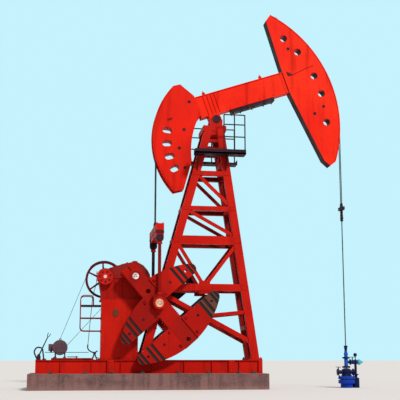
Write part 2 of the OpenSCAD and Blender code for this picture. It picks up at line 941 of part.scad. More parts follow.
module walking_beam() {
    l = beam_front + beam_back;
    color(red) on_beam() difference() {
        union() {
            translate([-beam_back, -beam_w / 2 + beam_web_in, beam_over])
                cube([l, beam_w - 2 * beam_web_in, beam_d]);
            for (b = [beam_over, beam_top - beam_t])
                translate([-beam_back, -beam_w / 2, b]) cube([l, beam_w, beam_t]);
            for (a = rib_a) translate([a, -beam_w / 2, beam_over]) cube([rib_t, beam_w, beam_d]);
            // saddle block that carries the shaft under the beam
            translate([-block_l / 2, -beam_w / 2, 0]) cube([block_l, beam_w, beam_over]);
            rod_y(0, 0, block_l / 2, -beam_w / 2, beam_w / 2);
            // lifting lugs
            for (a = lug_a) translate([a, -lug_t / 2, beam_top]) cube([lug_s, lug_t, lug_s]);
        }
        rod_y(0, 0, saddle_r + fit, -beam_w, beam_w);
    }
}

module saddle_shaft() {
    end = bearing_y + bearing_t / 2 + 20;
    color(steel) rod_y(0, pivot_h, saddle_r, -end, end);
}

box_a = [620, 2180];
box_d = 120;
box_in = 20;

module beam_weight_box() {
    color(black) on_beam()
        translate([box_a[0], -beam_w / 2 + box_in, beam_over - box_d])
            cube([box_a[1] - box_a[0], beam_w - 2 * box_in, box_d]);
}

face_top = 44.6;
face_low = -36.3;
// angles of the large holes on their circle, and that circle's distance from the face
head_holes = [32.8, 22.8, 7.7, -2.3, -17.6];
head_hole_in = 470;
head_hole_c = front_r - head_hole_in;
// the head's upper back corner and its two lower ones, from the ends of its face
top_corner = [-229, -166];
knee_corner = [-376, 170];
low_corner = [-229, -82];

module front_outline() {
    top_tip = front_r * [cos(face_top), sin(face_top)];
    low_tip = front_r * [cos(face_low), sin(face_low)];
    difference() {
        polygon(concat(
            arc([0, 0], front_r, face_low, face_top, 40),
            [top_tip + top_corner, [beam_front, beam_top], [beam_front, beam_over],
                low_tip + knee_corner, low_tip + low_corner]
        ));
        for (w = head_holes)
            translate([head_hole_c * cos(w), head_hole_c * sin(w)]) circle(r = head_hole_r);
    }
}

module front_head() {
    color(red) on_beam() plate_y(0, front_head_t) front_outline();
}

rear_c = [285, -786];
rear_top_a = 119.9;
rear_low_a = 204.3;
inner_c = [1399, -1618];
inner_r = 2694;
rear_hole_a = [154.7, 166.5, 178.3, 189.9];
rear_hole_in = 480;
rear_hole_c = rear_r - rear_hole_in;
rear_hole_half = 60;
rear_hole_r = 105;
// depth of the rope's middle line below the cheeks' edge
rope_in = 135;
rope_line_r = rear_r - rope_in;
rear_low_corner = [-1800, -1908];
inner_a = [168.8, 138];
rear_shoulder = 300;
rear_neck = 1000;
rear_top_corner = [-769, 1513];
tangent_a = 180 - beam_tilt;

cheek = 30;
back_over = 20;

// a hole with round ends of radius r, their middles half from its own middle
module slot_hole(r, half) {
    square([2 * half, 2 * r], center = true);
    for (s = [-1, 1]) translate([s * half, 0]) circle(r = r);
}

// the outline is drawn past its round back, and a circle of radius r about rear_c cuts it
module rear_outline(r) {
    difference() {
        intersection() {
            translate(rear_c) circle(r = r, $fn = 180);
            polygon(concat(
                arc(rear_c, r + back_over, rear_top_a, rear_low_a, 30),
                [rear_low_corner],
                arc(inner_c, inner_r, inner_a[0], inner_a[1], 10),
                [[-beam_back, rear_shoulder], [-beam_back, rear_neck], rear_top_corner]
            ));
        }
        for (w = rear_hole_a)
            translate([rear_c[0] + rear_hole_c * cos(w), rear_c[1] + rear_hole_c * sin(w)])
                rotate(w) slot_hole(rear_hole_r, rear_hole_half);
    }
}

// two side cheeks stand proud of the rounded back, so that the rope runs between them
module rear_head() {
    color(red) on_beam() {
        for (s = [-1, 1])
            plate_y(s * (rear_head_t - cheek) / 2, cheek) rear_outline(rear_r);
        plate_y(0, rear_head_t - 2 * cheek) rear_outline(rope_line_r - rope_d / 2 - gap);
    }
}

// a strand along an arc of radius r from angle a to b about c, at y
module strand_arc(c, r, d, a, b, y) {
    translate([c[0], y, c[1]]) rotate([90, 0, 0])
        rotate([0, 0, a]) rotate_extrude(angle = b - a)
            translate([r, 0]) circle(r = d / 2, $fn = 24);
}

anchor_a = 124;
clamp_w = 230;
clamp_t = 80;
clamp_l = 120;
socket_l = 90;
socket_h = 130;

module drive_rope_wrap() {
    color(black) on_beam() {
        for (s = [-1, 1])
            strand_arc(rear_c, rope_line_r, rope_d, anchor_a, tangent_a, s * strand_gap / 2);
        translate([rear_c[0], 0, rear_c[1]]) rotate([0, -anchor_a, 0])
            translate([rope_line_r - rope_d / 2, -clamp_w / 2, -clamp_l / 2])
                cube([clamp_t, clamp_w, clamp_l]);
    }
}

// world place of the rear arc's centre, from which the rope hangs straight down
rear_cx = rear_c[0] * cos(beam_tilt) - rear_c[1] * sin(beam_tilt);
rear_cz = pivot_h + rear_c[0] * sin(beam_tilt) + rear_c[1] * cos(beam_tilt);
rope_x = rear_cx - rope_line_r;

module drive_rope_span() {
    z0 = equalizer_z + equalizer_d + gap;
    color(black) {
        for (s = [-1, 1]) translate([rope_x, s * strand_gap / 2, z0])
            cylinder(r = rope_d / 2, h = rear_cz - z0);
        translate([rope_x - socket_l / 2, -clamp_w / 2, z0]) cube([socket_l, clamp_w, socket_h]);
    }
}

bridle_line_r = front_r + bridle_d / 2 + gap;
bridle_end = 3;
bridle_clamp_t = 70;
bridle_clamp_l = 90;

module bridle_wrap() {
    color(steel) on_beam() {
        for (s = [-1, 1])
            strand_arc([0, 0], bridle_line_r, bridle_d, -beam_tilt, face_top - bridle_end,
                s * strand_gap / 2);
        rotate([0, bridle_end - face_top, 0]) translate([front_r, -clamp_w / 2, -bridle_clamp_l / 2])
            cube([bridle_clamp_t, clamp_w, bridle_clamp_l]);
    }
}

carrier_l = 360;
carrier_d = 480;
carrier_w = 120;
carrier_t = 110;
clamp_r = 45;
rod_clamp_h = 80;
rod_clamp_l = 70;

module bridle_span() {
    color(steel) for (s = [-1, 1])
        translate([bridle_line_r, s * strand_gap / 2, carrier_h])
            cylinder(r = bridle_d / 2, h = pivot_h - carrier_h);
}

module carrier_bar() {
    x = bridle_line_r;
    color(black) difference() {
        union() {
            translate([x - carrier_w / 2, -carrier_l / 2, carrier_h - carrier_t])
                cube([carrier_w, carrier_l, carrier_t]);
            translate([x, 0, carrier_h - carrier_d]) cylinder(r = clamp_r, h = carrier_d - carrier_t);
            translate([x - rod_clamp_l / 2, -carrier_w / 2, carrier_h - carrier_d + 60])
                cube([rod_clamp_l, carrier_w, rod_clamp_h]);
        }
        translate([x, 0, carrier_h - carrier_d - 1]) cylinder(r = rod_r + fit, h = carrier_d + 2);
    }
}

rod_low = 520;
rod_head_h = 40;
rod_head_t = 14;
wellhead_bore = 42;

module polished_rod() {
    color(steel) {
        translate([bridle_line_r, 0, rod_low])
            cylinder(r = rod_r, h = carrier_h + rod_head_h - rod_low);
        translate([bridle_line_r, 0, carrier_h]) cylinder(r = rod_r + rod_head_t, h = rod_head_h);
    }
}

// Wellhead: flanged spools one on another, with a valve on each side

base_flange = [270, 55];
spool = [150, 330];
top_flange = [235, 110];
column_r = 120;
stuffing_low = 1055;
stuffing_flange = [95, 60];
stuffing_r = 62;
outlet_h = 640;
outlet_r = 62;
outlet_l = 560;
valve = [120, 160];
valve_x = 300;
stem_x = 380;
stem_r = 40;
stem_top = 260;
handwheel = [130, 24];
blind_l = 300;
blind_flange = [115, 40];

module wellhead() {
    spool_top = base_flange[1] + spool[1];
    color(blue) difference() {
        translate([bridle_line_r, 0, 0]) {
            cylinder(r = base_flange[0], h = base_flange[1]);
            translate([0, 0, base_flange[1]]) cylinder(r = spool[0], h = spool[1]);
            translate([0, 0, spool_top]) cylinder(r = top_flange[0], h = top_flange[1]);
            translate([0, 0, spool_top + top_flange[1]])
                cylinder(r = column_r, h = stuffing_low - spool_top - top_flange[1]);
            translate([0, 0, outlet_h]) {
                rotate([0, 90, 0]) cylinder(r = outlet_r, h = outlet_l);
                translate([valve_x, 0, 0]) rotate([0, 90, 0]) cylinder(r = valve[0], h = valve[1]);
                translate([stem_x, 0, 0]) cylinder(r = stem_r, h = stem_top);
                translate([stem_x, 0, stem_top - 20])
                    cylinder(r = handwheel[0], h = handwheel[1]);
                rotate([0, -90, 0]) cylinder(r = outlet_r, h = blind_l);
                translate([-blind_l, 0, 0]) rotate([0, -90, 0])
                    cylinder(r = blind_flange[0], h = blind_flange[1]);
            }
        }
        translate([bridle_line_r, 0, -1]) cylinder(r = wellhead_bore, h = wellhead_h);
    }
}

module stuffing_box() {
    gland_low = stuffing_low + stuffing_flange[1];
    color(blue) translate([bridle_line_r, 0, 0]) difference() {
        union() {
            translate([0, 0, stuffing_low]) cylinder(r = stuffing_flange[0], h = stuffing_flange[1]);
            translate([0, 0, gland_low]) cylinder(r = stuffing_r, h = wellhead_h - gland_low);
        }
        translate([0, 0, stuffing_low - 60]) cylinder(r = rod_r + fit, h = wellhead_h);
    }
}

foundation();
skid_rails();
skid_cross_members();
gearbox_pedestal();
gearbox_case();
gearbox_cover();
motor();
motor_rails();
drive_belts();
derrick_side_near();
derrick_side_far();
derrick_cross_ties();
derrick_cap();
saddle_bearing();
deck_near();
deck_far();
railing_near();
railing_far();
service_frame();
brake_stand();
wellhead();
stuffing_box();
crankshaft();
crank_near();
crank_far();
counterweights_near();
counterweights_far();
wrist_pins();
wrist_pin_caps();
pitman_near();
pitman_far();
equalizer();
walking_beam();
beam_weight_box();
front_head();
rear_head();
saddle_shaft();
drive_rope_wrap();
drive_rope_span();
bridle_wrap();
bridle_span();
carrier_bar();
polished_rod();
belt_wheel();
brake_drum();
motor_pulley();
brake_lever();
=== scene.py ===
import json
import math

import bmesh
import bpy
import numpy as np
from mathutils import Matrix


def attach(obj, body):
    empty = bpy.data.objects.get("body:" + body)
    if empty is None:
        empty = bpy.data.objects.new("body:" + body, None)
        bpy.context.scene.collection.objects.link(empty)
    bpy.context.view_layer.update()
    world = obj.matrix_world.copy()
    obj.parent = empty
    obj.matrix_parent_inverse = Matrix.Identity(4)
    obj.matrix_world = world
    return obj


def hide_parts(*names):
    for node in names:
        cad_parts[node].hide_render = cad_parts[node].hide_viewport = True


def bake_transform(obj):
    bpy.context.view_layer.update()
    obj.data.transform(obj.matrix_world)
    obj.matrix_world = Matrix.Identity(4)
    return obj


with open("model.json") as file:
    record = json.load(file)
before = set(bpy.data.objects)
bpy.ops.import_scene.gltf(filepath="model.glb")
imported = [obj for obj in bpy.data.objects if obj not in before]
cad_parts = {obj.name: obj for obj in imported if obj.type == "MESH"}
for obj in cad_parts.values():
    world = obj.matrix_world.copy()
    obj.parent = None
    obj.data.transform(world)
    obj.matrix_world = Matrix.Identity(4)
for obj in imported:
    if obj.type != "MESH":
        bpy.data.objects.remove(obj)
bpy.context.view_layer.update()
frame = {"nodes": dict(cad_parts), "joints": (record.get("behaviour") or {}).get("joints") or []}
nodes = frame["nodes"]
joint = {j["name"]: j for j in frame["joints"]}

# Concrete foundation: one long block cast between boards, with pitted faces, pale
# dust on its top and dark runs of oil and water below the machine. The skid is held
# down by clips over its lower flange, each on a stud that is cast into the block.
GREY_CONCRETE = (0.18, 0.085, 0.075)
DAMP_CONCRETE = (0.07, 0.032, 0.034)
DUST_TONE = (0.3, 0.16, 0.13)


def new_material(name):
    """An empty node material with its shader, and the object-space place of each point."""
    mat = bpy.data.materials.new(name)
    mat.use_nodes = True
    tree = mat.node_tree
    return mat, tree, tree.nodes["Principled BSDF"], tree.nodes.new("ShaderNodeTexCoord")


def feed(tree, node, inputs):
    """Sets a node's inputs, each to a plain value or to the socket of another node."""
    for name, value in inputs.items():
        if isinstance(value, bpy.types.NodeSocket):
            tree.links.new(value, node.inputs[name])
        else:
            node.inputs[name].default_value = value
    return node


def add_node(tree, kind, inputs):
    """Adds a shader node with its inputs set."""
    return feed(tree, tree.nodes.new("ShaderNode" + kind), inputs)


def noise(tree, place, scale, stretch=(1, 1, 1), detail=4.0):
    """A cloud pattern on Object coordinates, scale per metre, drawn out along an axis."""
    drawn = add_node(tree, "Mapping", {"Vector": place.outputs["Object"], "Scale": stretch})
    return add_node(tree, "TexNoise", {"Vector": drawn.outputs["Vector"], "Scale": scale,
                                       "Detail": detail}).outputs["Fac"]


def ramp(tree, source, low, high, a=0.0, b=1.0):
    """A smooth step of a value: a below low and b above high."""
    step = add_node(tree, "MapRange", {"Value": source, "From Min": low, "From Max": high,
                                       "To Min": a, "To Max": b})
    step.interpolation_type = "SMOOTHSTEP"
    return step.outputs["Result"]


def combine(tree, operation, first, second=0.5):
    """One value worked out from two sockets or numbers."""
    made = add_node(tree, "Math", {0: first, 1: second})
    made.operation = operation
    return made.outputs["Value"]


def times(tree, first, second):
    """The product of two values."""
    return combine(tree, "MULTIPLY", first, second)


def tint(tree, amount, under, over):
    """The colour under with the colour over laid on it by amount. A mix of colours has the
    two at inputs 6 and 7 and the result at output 2."""
    under, over = [(*c, 1) if isinstance(c, tuple) else c for c in (under, over)]
    mix = tree.nodes.new("ShaderNodeMix")
    mix.data_type = "RGBA"
    return feed(tree, mix, {0: amount, 6: under, 7: over}).outputs[2]


def bumps(tree, shader, layers):
    """Stacks height patterns on the normal: each layer is a value and its depth in metres."""
    normal = {}
    for height, depth in layers:
        bump = add_node(tree, "Bump", {"Strength": 1.0, "Distance": depth, "Height": height,
                                       **normal})
        normal = {"Normal": bump.outputs["Normal"]}
    feed(tree, shader, normal)


def axis_value(tree, source, axis):
    """One coordinate of a vector."""
    return add_node(tree, "SeparateXYZ", {"Vector": source}).outputs[axis]


def facing_up(tree, place):
    """1 on faces that look up and 0 on all others, in the piece's own frame."""
    return ramp(tree, axis_value(tree, place.outputs["Normal"], "Z"), 0.5, 0.9)


def cast_concrete():
    """Grey concrete: patches, drawn-out damp runs, grit, board marks, pits and pale dust."""
    mat, tree, shader, place = new_material("concrete")
    point = place.outputs["Object"]
    patches = noise(tree, place, 1.3, (1, 1, 1.6), 8)
    runs = noise(tree, place, 2.4, (2.2, 2.2, 0.12), 6)
    grit = noise(tree, place, 38, detail=6)
    boards = add_node(tree, "TexWave", {"Vector": point, "Scale": 1.6, "Distortion": 0.4})
    boards.bands_direction = "Z"
    pits = add_node(tree, "TexVoronoi", {"Vector": point, "Scale": 21})
    colour = tint(tree, ramp(tree, patches, 0.42, 0.66, 0, 0.75), GREY_CONCRETE, DAMP_CONCRETE)
    for amount, over in ((ramp(tree, runs, 0.46, 0.66, 0, 0.8), DAMP_CONCRETE),
                         (ramp(tree, grit, 0.35, 0.7, 0, 0.35), DUST_TONE),
                         (times(tree, facing_up(tree, place), 0.7), DUST_TONE),
                         (ramp(tree, axis_value(tree, point, "Z"), 0.0, 0.16, 0.45, 0),
                          DUST_TONE)):
        colour = tint(tree, amount, colour, over)
    feed(tree, shader, {"Base Color": colour, "Roughness": 0.93})
    holes = ramp(tree, pits.outputs["Distance"], 0.04, 0.22)
    bumps(tree, shader, [(boards.outputs["Fac"], 0.004), (holes, 0.005), (grit, 0.004)])
    return mat


def finish(material, *names):
    """Gives CAD nodes their finish."""
    for name in names:
        slots = nodes[name].data.materials
        slots.clear()
        slots.append(material)


concrete = cast_concrete()
finish(concrete, "foundation")


def loft(rings, loop=False):
    """Skins closed rings of points, (rows, columns, 3), each quad between two neighbours of
    two rows. A loop joins the last ring to the first, otherwise both end rings are capped."""
    rows, columns = rings.shape[:2]
    i = np.arange(rows if loop else rows - 1)[:, None]
    j = np.arange(columns)[None, :]
    a, b = i * columns, (i + 1) % rows * columns
    k = (j + 1) % columns
    quads = np.stack([a + j, a + k, b + k, b + j], -1).reshape(-1, 4).tolist()
    if not loop:
        quads += [list(range(columns)), list(range((rows - 1) * columns, rows * columns))]
    return rings.reshape(-1, 3), quads


def turned(profile, sides=32):
    """A lathe shape about Z: at each (radius, height) of the profile a circle of that radius."""
    profile = np.asarray(profile, float)
    angle = np.arange(sides) * 2 * np.pi / sides
    radius, height = profile[:, :1], profile[:, 1:]
    return loft(np.stack([radius * np.cos(angle), radius * np.sin(angle),
                          height + 0 * angle], -1))


def inset(outline, depth):
    """Moves each corner of an anticlockwise outline inwards, along the sum of its two edges'
    normals, so that every edge shifts by depth."""
    edge = np.roll(outline, -1, 0) - outline
    normal = np.stack([-edge[:, 1], edge[:, 0]], -1) / np.linalg.norm(edge, axis=1)[:, None]
    before = np.roll(normal, 1, 0)
    spread = 1 + (normal * before).sum(1)[:, None]
    return outline + depth * (normal + before) / np.maximum(spread, 0.4)


def plate(outline, low, high, bevel=0.003):
    """A flat outline made thick along Z, its two rims bevelled by an inset ring at each end."""
    outline = np.asarray(outline, float)
    area = (outline[:, 0] * np.roll(outline[:, 1], -1)
            - outline[:, 1] * np.roll(outline[:, 0], -1)).sum()
    if area < 0:
        outline = outline[::-1]
    small = inset(outline, bevel)
    levels = ((small, low), (outline, low + bevel), (outline, high - bevel), (small, high))
    return loft(np.stack([np.column_stack([ring, np.full(len(ring), level)])
                          for ring, level in levels]))


def block(low, high, bevel=0.004):
    """A bevelled block between two opposite corners."""
    (x0, y0, z0), (x1, y1, z1) = low, high
    return plate([(x0, y0), (x1, y0), (x1, y1), (x0, y1)], z0, z1, bevel)


def aim(shape, origin, axis=(0, 0, 1)):
    """Turns a shape so that its Z runs along axis and its X stays as level as it can, and
    puts its zero point at origin: each point is origin plus x, y and z times three units."""
    w = np.asarray(axis, float) / np.linalg.norm(axis)
    start = np.array([1.0, 0, 0]) if abs(w[0]) < 0.9 else np.array([0, 1.0, 0])
    u = start - (start @ w) * w
    u /= np.linalg.norm(u)
    return np.asarray(origin, float) + shape[0] @ np.stack([u, np.cross(w, u), w]), shape[1]


def repeat(shape, offsets):
    """Copies of a shape, one at each offset."""
    offsets = np.asarray(offsets, float).reshape(-1, 1, 3)
    count = len(shape[0])
    points = (shape[0][None] + offsets).reshape(-1, 3)
    faces = [[v + count * i for v in face] for i in range(len(offsets)) for face in shape[1]]
    return points, faces


def join(*shapes):
    """Several shapes as one."""
    starts = np.cumsum([0] + [len(points) for points, _ in shapes])
    faces = [[v + int(start) for v in face] for start, (_, rows) in zip(starts, shapes)
             for face in rows]
    return np.concatenate([points for points, _ in shapes]), faces


def mirrored(*shapes):
    """Shapes and their twins on the other side of the machine, with Y turned to -Y."""
    points, faces = join(*shapes)
    return join((points, faces), (points * (1, -1, 1), faces))


def stand(name, data):
    """Puts an object into the scene."""
    made = bpy.data.objects.new(name, data)
    bpy.context.scene.collection.objects.link(made)
    return made


def piece(name, shape, material, body, replaced=()):
    """Makes a scene object of a shape: doubles merged, faces turned outwards, flat faces
    kept flat and round ones smooth. It rides on a body."""
    mesh = bpy.data.meshes.new(name)
    mesh.from_pydata(shape[0].tolist(), [], shape[1])
    work = bmesh.new()
    work.from_mesh(mesh)
    bmesh.ops.remove_doubles(work, verts=work.verts, dist=1e-5)
    bmesh.ops.recalc_face_normals(work, faces=work.faces)
    bmesh.ops.triangulate(work, faces=[f for f in work.faces if len(f.verts) > 4])
    work.to_mesh(mesh)
    work.free()
    mesh.shade_smooth()
    mesh.set_sharp_from_angle(angle=math.radians(32))
    mesh.materials.append(material)
    made = stand(name, mesh)
    if body:
        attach(made, body)
    if replaced:
        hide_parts(*replaced)
    return made


def hex_bolt(radius, stud=0.0):
    """A washer, a chamfered hexagon on it, and a stud's end that stands out of a nut."""
    washer = turned([(0, 0), (1.35 * radius, 0), (1.35 * radius, 0.2 * radius),
                     (0, 0.2 * radius)], 16)
    head = turned([(0, 0.2 * radius), (radius, 0.2 * radius), (radius, 0.95 * radius),
                   (0.86 * radius, 1.1 * radius), (0, 1.1 * radius)], 6)
    shapes = [washer, head]
    if stud:
        shapes.append(turned([(0, radius), (0.5 * radius, radius),
                              (0.5 * radius, radius + stud - 0.1 * radius),
                              (0.4 * radius, radius + stud), (0, radius + stud)], 12))
    return join(*shapes)


def bare_metal(name, colour, stain, rough, metallic=1.0):
    """Machined or cast metal: fine turning marks, oily stains and dull patches."""
    mat, tree, shader, place = new_material(name)
    stains = noise(tree, place, 9, (1, 1, 0.5), 6)
    fine = noise(tree, place, 70, (1, 1, 4), 4)
    feed(tree, shader, {
        "Base Color": tint(tree, ramp(tree, stains, 0.42, 0.66, 0, 0.85), colour, stain),
        "Metallic": metallic,
        "Roughness": ramp(tree, stains, 0.3, 0.7, rough - 0.1, rough + 0.2)})
    bumps(tree, shader, [(fine, 0.0007), (stains, 0.0008)])
    return mat


CLIP_X = (-5.2, -4.15, -3.33, -2.4, -1.3, -0.35, 0.62, 1.08)
FOUNDATION_TOP, FLANGE_TOP = 0.48, 0.498
CLIP_HALF, CLIP_OUT, CLIP_T = 0.06, 0.77, 0.024
old_steel = bare_metal("old_steel", (0.09, 0.045, 0.04), (0.04, 0.02, 0.018), 0.6, 0.4)
clip = join(block((-CLIP_HALF, 0.58, FLANGE_TOP), (CLIP_HALF, CLIP_OUT, FLANGE_TOP + CLIP_T)),
            block((-CLIP_HALF, 0.61, FOUNDATION_TOP), (CLIP_HALF, CLIP_OUT, FLANGE_TOP)),
            aim(hex_bolt(0.026, 0.045), (0, 0.695, FLANGE_TOP + CLIP_T)))
piece("anchor_clips", mirrored(repeat(clip, [(x, 0, 0) for x in CLIP_X])), old_steel, "root")

# Skid: two rolled I-section rails with welded stiffeners and cross members, sprayed red.
# Bolted cover plates bridge the rails' joints. Sun has bleached the enamel, dust lies on
# what looks up, and oil has run down the webs.
RED = (0.44, 0.005, 0.001)
BLEACHED_RED = (0.54, 0.01, 0.003)
OILY_RED = (0.13, 0.003, 0.003)
RED_DUST = (0.36, 0.06, 0.035)
CHIPPED = (0.07, 0.022, 0.018)


def dot(tree, first, second):
    """The dot product of two vectors."""
    product = add_node(tree, "VectorMath", {0: first, 1: second})
    product.operation = "DOT_PRODUCT"
    return product.outputs["Value"]


def enamel(name, colour, faded, dirt, dust, rough=0.5, wear=0.5, streaks=0.35, marks=None):
    """Sprayed enamel on steel: fading in clouds, runs of dirt drawn out downwards, dust on
    top faces, chips where a rounded-edge normal leaves the flat one, and a fine orange
    peel. Marks lays further colours over the paint before the dirt."""
    mat, tree, shader, place = new_material(name)
    clouds = noise(tree, place, 0.55, detail=5)
    runs = noise(tree, place, 3.2, (1.6, 1.6, 0.16), 7)
    fine = noise(tree, place, 17, detail=7)
    peel = noise(tree, place, 120, detail=2)
    tone = tint(tree, ramp(tree, clouds, 0.36, 0.68), colour, faded)
    if marks:
        tone = marks(tree, place, tone)
    tone = tint(tree, ramp(tree, runs, 0.5, 0.74, 0, streaks), tone, dirt)
    tone = tint(tree, ramp(tree, fine, 0.56, 0.8, 0, 0.45), tone, dirt)
    tone = tint(tree, times(tree, facing_up(tree, place), 0.5), tone, dust)
    round_edge = add_node(tree, "Bevel", {"Radius": 0.012})
    round_edge.samples = 4
    flat_face = add_node(tree, "NewGeometry", {})
    match = dot(tree, round_edge.outputs["Normal"], flat_face.outputs["Normal"])
    edge = ramp(tree, match, 0.8, 0.97, 1, 0)
    chips = times(tree, edge, ramp(tree, fine, 0.5, 0.6, 0, wear))
    feed(tree, shader, {"Base Color": tint(tree, chips, tone, CHIPPED),
                        "Roughness": ramp(tree, runs, 0.35, 0.75, rough - 0.08, rough + 0.2),
                        "Specular IOR Level": 0.07})
    bumps(tree, shader, [(peel, 0.0006), (clouds, 0.01), (chips, -0.0008)])
    return mat


red = enamel("red_enamel", RED, BLEACHED_RED, OILY_RED, RED_DUST)
finish(red, "skid_rails", "skid_cross_members")

ACROSS = (0, 1, 0)


def bolts_at(spots, radius, stud=0.0, axis=ACROSS):
    """The same bolt at each spot, standing along axis."""
    return repeat(aim(hex_bolt(radius, stud), (0, 0, 0), axis), spots)


COVER_SPANS, END_SPAN = ((-3.484, -3.285), (0.304, 0.486)), (1.26, 1.385)
COVER_IN, COVER_OUT, COVER_LOW, COVER_TOP = 0.596, 0.612, 0.5, 0.872
covers = [block((END_SPAN[0], COVER_IN, COVER_LOW), (END_SPAN[1], COVER_OUT - 0.002, COVER_TOP))]
for x0, x1 in COVER_SPANS:
    covers.append(block((x0, COVER_IN, COVER_LOW), (x1, COVER_OUT, COVER_TOP)))
    covers.append(bolts_at([(x, COVER_OUT, z) for x in (x0 + 0.045, x1 - 0.045)
                            for z in (0.55, 0.64, 0.73, 0.82)], 0.015))
piece("rail_covers", mirrored(*covers), red, "root")

# Gearbox: a welded pedestal, a split cast case and its cover, with the input shaft
# through it. The castings are rougher and darker with oil than the plates. Bolts hold
# the split, the bearing covers and the hatch, and a breather stands on the crest.
CAST_RED = (0.27, 0.006, 0.003)
COVER_RED = (0.25, 0.022, 0.014)
cast_red = enamel("cast_red_enamel", CAST_RED, RED, OILY_RED, RED_DUST, 0.55, 0.4, 0.55)
dull_red = enamel("dull_red_enamel", COVER_RED, CAST_RED, OILY_RED, RED_DUST, 0.6, 0.5, 0.6)
finish(red, "gearbox_pedestal")
finish(dull_red, "gearbox_cover")
finish(cast_red, "gearbox_case")

CASE_FACE, SPLIT_Z, FLANGE_Y = 0.36, 3.45, 0.375
RIB_IN, RIB_OUT, RIB_HALF = 0.358, 0.386, 0.012
PEDESTAL_FACE, HATCH_X, HATCH_Z = 0.388, -3.241, 2.334
crank_x, _, crank_z = joint["crank_turn"]["pos_m"]
input_x, _, input_z = joint["belt_wheel_spin"]["pos_m"]


def ring_of_bolts(radius, count, bolt, centre, turn=0.0, axis=ACROSS):
    """Bolts evenly spaced on a circle about an axis along Y."""
    angle = turn + np.arange(count) * 2 * np.pi / count
    return bolts_at(np.stack([centre[0] + radius * np.cos(angle), 0 * angle + centre[1],
                              centre[2] + radius * np.sin(angle)], -1), bolt, axis=axis)


def hoop(section, sides=72):
    """A closed ring about Z: each (radius, height) of a closed section is carried round a
    full circle, so the surface closes both ways."""
    section = np.asarray(section, float)
    angle = np.arange(sides)[:, None] * 2 * np.pi / sides
    radius, height = section[None, :, 0], section[None, :, 1]
    return loft(np.stack([radius * np.cos(angle), radius * np.sin(angle),
                          height + 0 * angle], -1), loop=True)


fittings = [repeat(hex_bolt(0.02, 0.02), [(x, FLANGE_Y, SPLIT_Z + 0.028)
                                          for x in np.arange(-3.74, -2.2, 0.14)
                                          if abs(x - crank_x) > 0.1])]
# covers over the input shaft's and the crankshaft's bearings
for x, radius, bore, deep in ((input_x, 0.18, 0.062, 0.05), (crank_x, 0.32, 0.155, 0.034)):
    cover = hoop([(bore, 0), (radius, 0), (radius, deep - 0.01), (radius - 0.01, deep),
                  (bore, deep)], 48)
    fittings.append(aim(cover, (x, CASE_FACE, SPLIT_Z), ACROSS))
    fittings.append(ring_of_bolts(radius - 0.035, 10, 0.014, (x, CASE_FACE + deep, SPLIT_Z), 0.2))
# stiffening ribs under the split
for x in (-3.5, -3.28, -3.06, -2.3):
    fittings.append(block((x - RIB_HALF, RIB_IN, 2.83), (x + RIB_HALF, RIB_OUT, 3.4)))
breather = turned([(0, -0.05), (0.05, -0.05), (0.05, 0.0), (0.085, 0.01), (0.085, 0.045),
                   (0.03, 0.06), (0, 0.06)], 24)
lid = join(block((-0.2, -0.16, -0.02), (0.2, 0.16, 0.022), 0.008),
           repeat(hex_bolt(0.014), [(x, y, 0.022) for x in (-0.17, 0, 0.17)
                                    for y in (-0.13, 0.13)]))
piece("gearbox_fittings", join(mirrored(*fittings), aim(breather, (-2.64, -0.12, 3.95)),
                               aim(lid, (-3.04, 0, 3.875), (-0.31, 0, 0.95))),
      cast_red, "root")

foot_bolts = mirrored(repeat(hex_bolt(0.017, 0.012), [(x, 0.405, 0.92)
                                                      for x in np.arange(-3.72, -2.62, 0.15)]))
oval_turn = np.arange(28) * np.pi / 14
oval = np.stack([0.1 * np.cos(oval_turn), 0.125 * np.sin(oval_turn)], -1)
hatch = mirrored(aim(plate(oval, 0, 0.016, 0.004), (HATCH_X, PEDESTAL_FACE, HATCH_Z), ACROSS))
olive = enamel("hatch_enamel", (0.1, 0.045, 0.015), (0.16, 0.03, 0.012), OILY_RED, RED_DUST,
               0.6)
piece("pedestal_foot_bolts", foot_bolts, cast_red, "root")
piece("pedestal_hatches", hatch, olive, "root")

# Input shaft: a cast belt wheel with tapered spokes and vee grooves at the far side, and
# the brake drum with its bolted disc at the near side, inside a lined steel band.
DARK_RED = (0.2, 0.004, 0.004)
BLACK_PAINT = (0.022, 0.008, 0.014)
BLACK_FADED = (0.05, 0.02, 0.03)
deep_red = enamel("deep_red_enamel", DARK_RED, CAST_RED, OILY_RED, RED_DUST, 0.5, 0.5, 0.5)
black_paint = enamel("black_enamel", BLACK_PAINT, BLACK_FADED, (0.008, 0.006, 0.008),
                     (0.09, 0.055, 0.05), 0.5, 0.5, 0.4)
WHEEL_R, WHEEL_Y, WHEEL_HALF, HUB_R, RIM_IN = 0.6, 0.5, 0.055, 0.13, 0.545
GROOVES = 4
GROOVE_PITCH = 0.022


def groove_section(rim, count, half, deep=0.012):
    """The rim's outer line from one edge to the other, dipping by deep at each groove."""
    middles = (np.arange(count) - (count - 1) / 2) * GROOVE_PITCH
    line = [(rim, -half)]
    for m in middles:
        line += [(rim, m - 0.009), (rim - deep, m - 0.005), (rim - deep, m + 0.005),
                 (rim, m + 0.009)]
    return line + [(rim, half)]


def rod(radius, low, high, sides=20):
    """A round bar along Z between two heights."""
    return turned([(0, low), (radius, low), (radius, high), (0, high)], sides)


def upright(shape, y, x=0.0, z=0.0):
    """Stands a flat shape up: its Y becomes Z and its thickness runs along Y from y, with
    its zero point at x and z."""
    points, faces = shape
    return np.stack([points[:, 0] + x, points[:, 2] + y, points[:, 1] + z], -1), faces


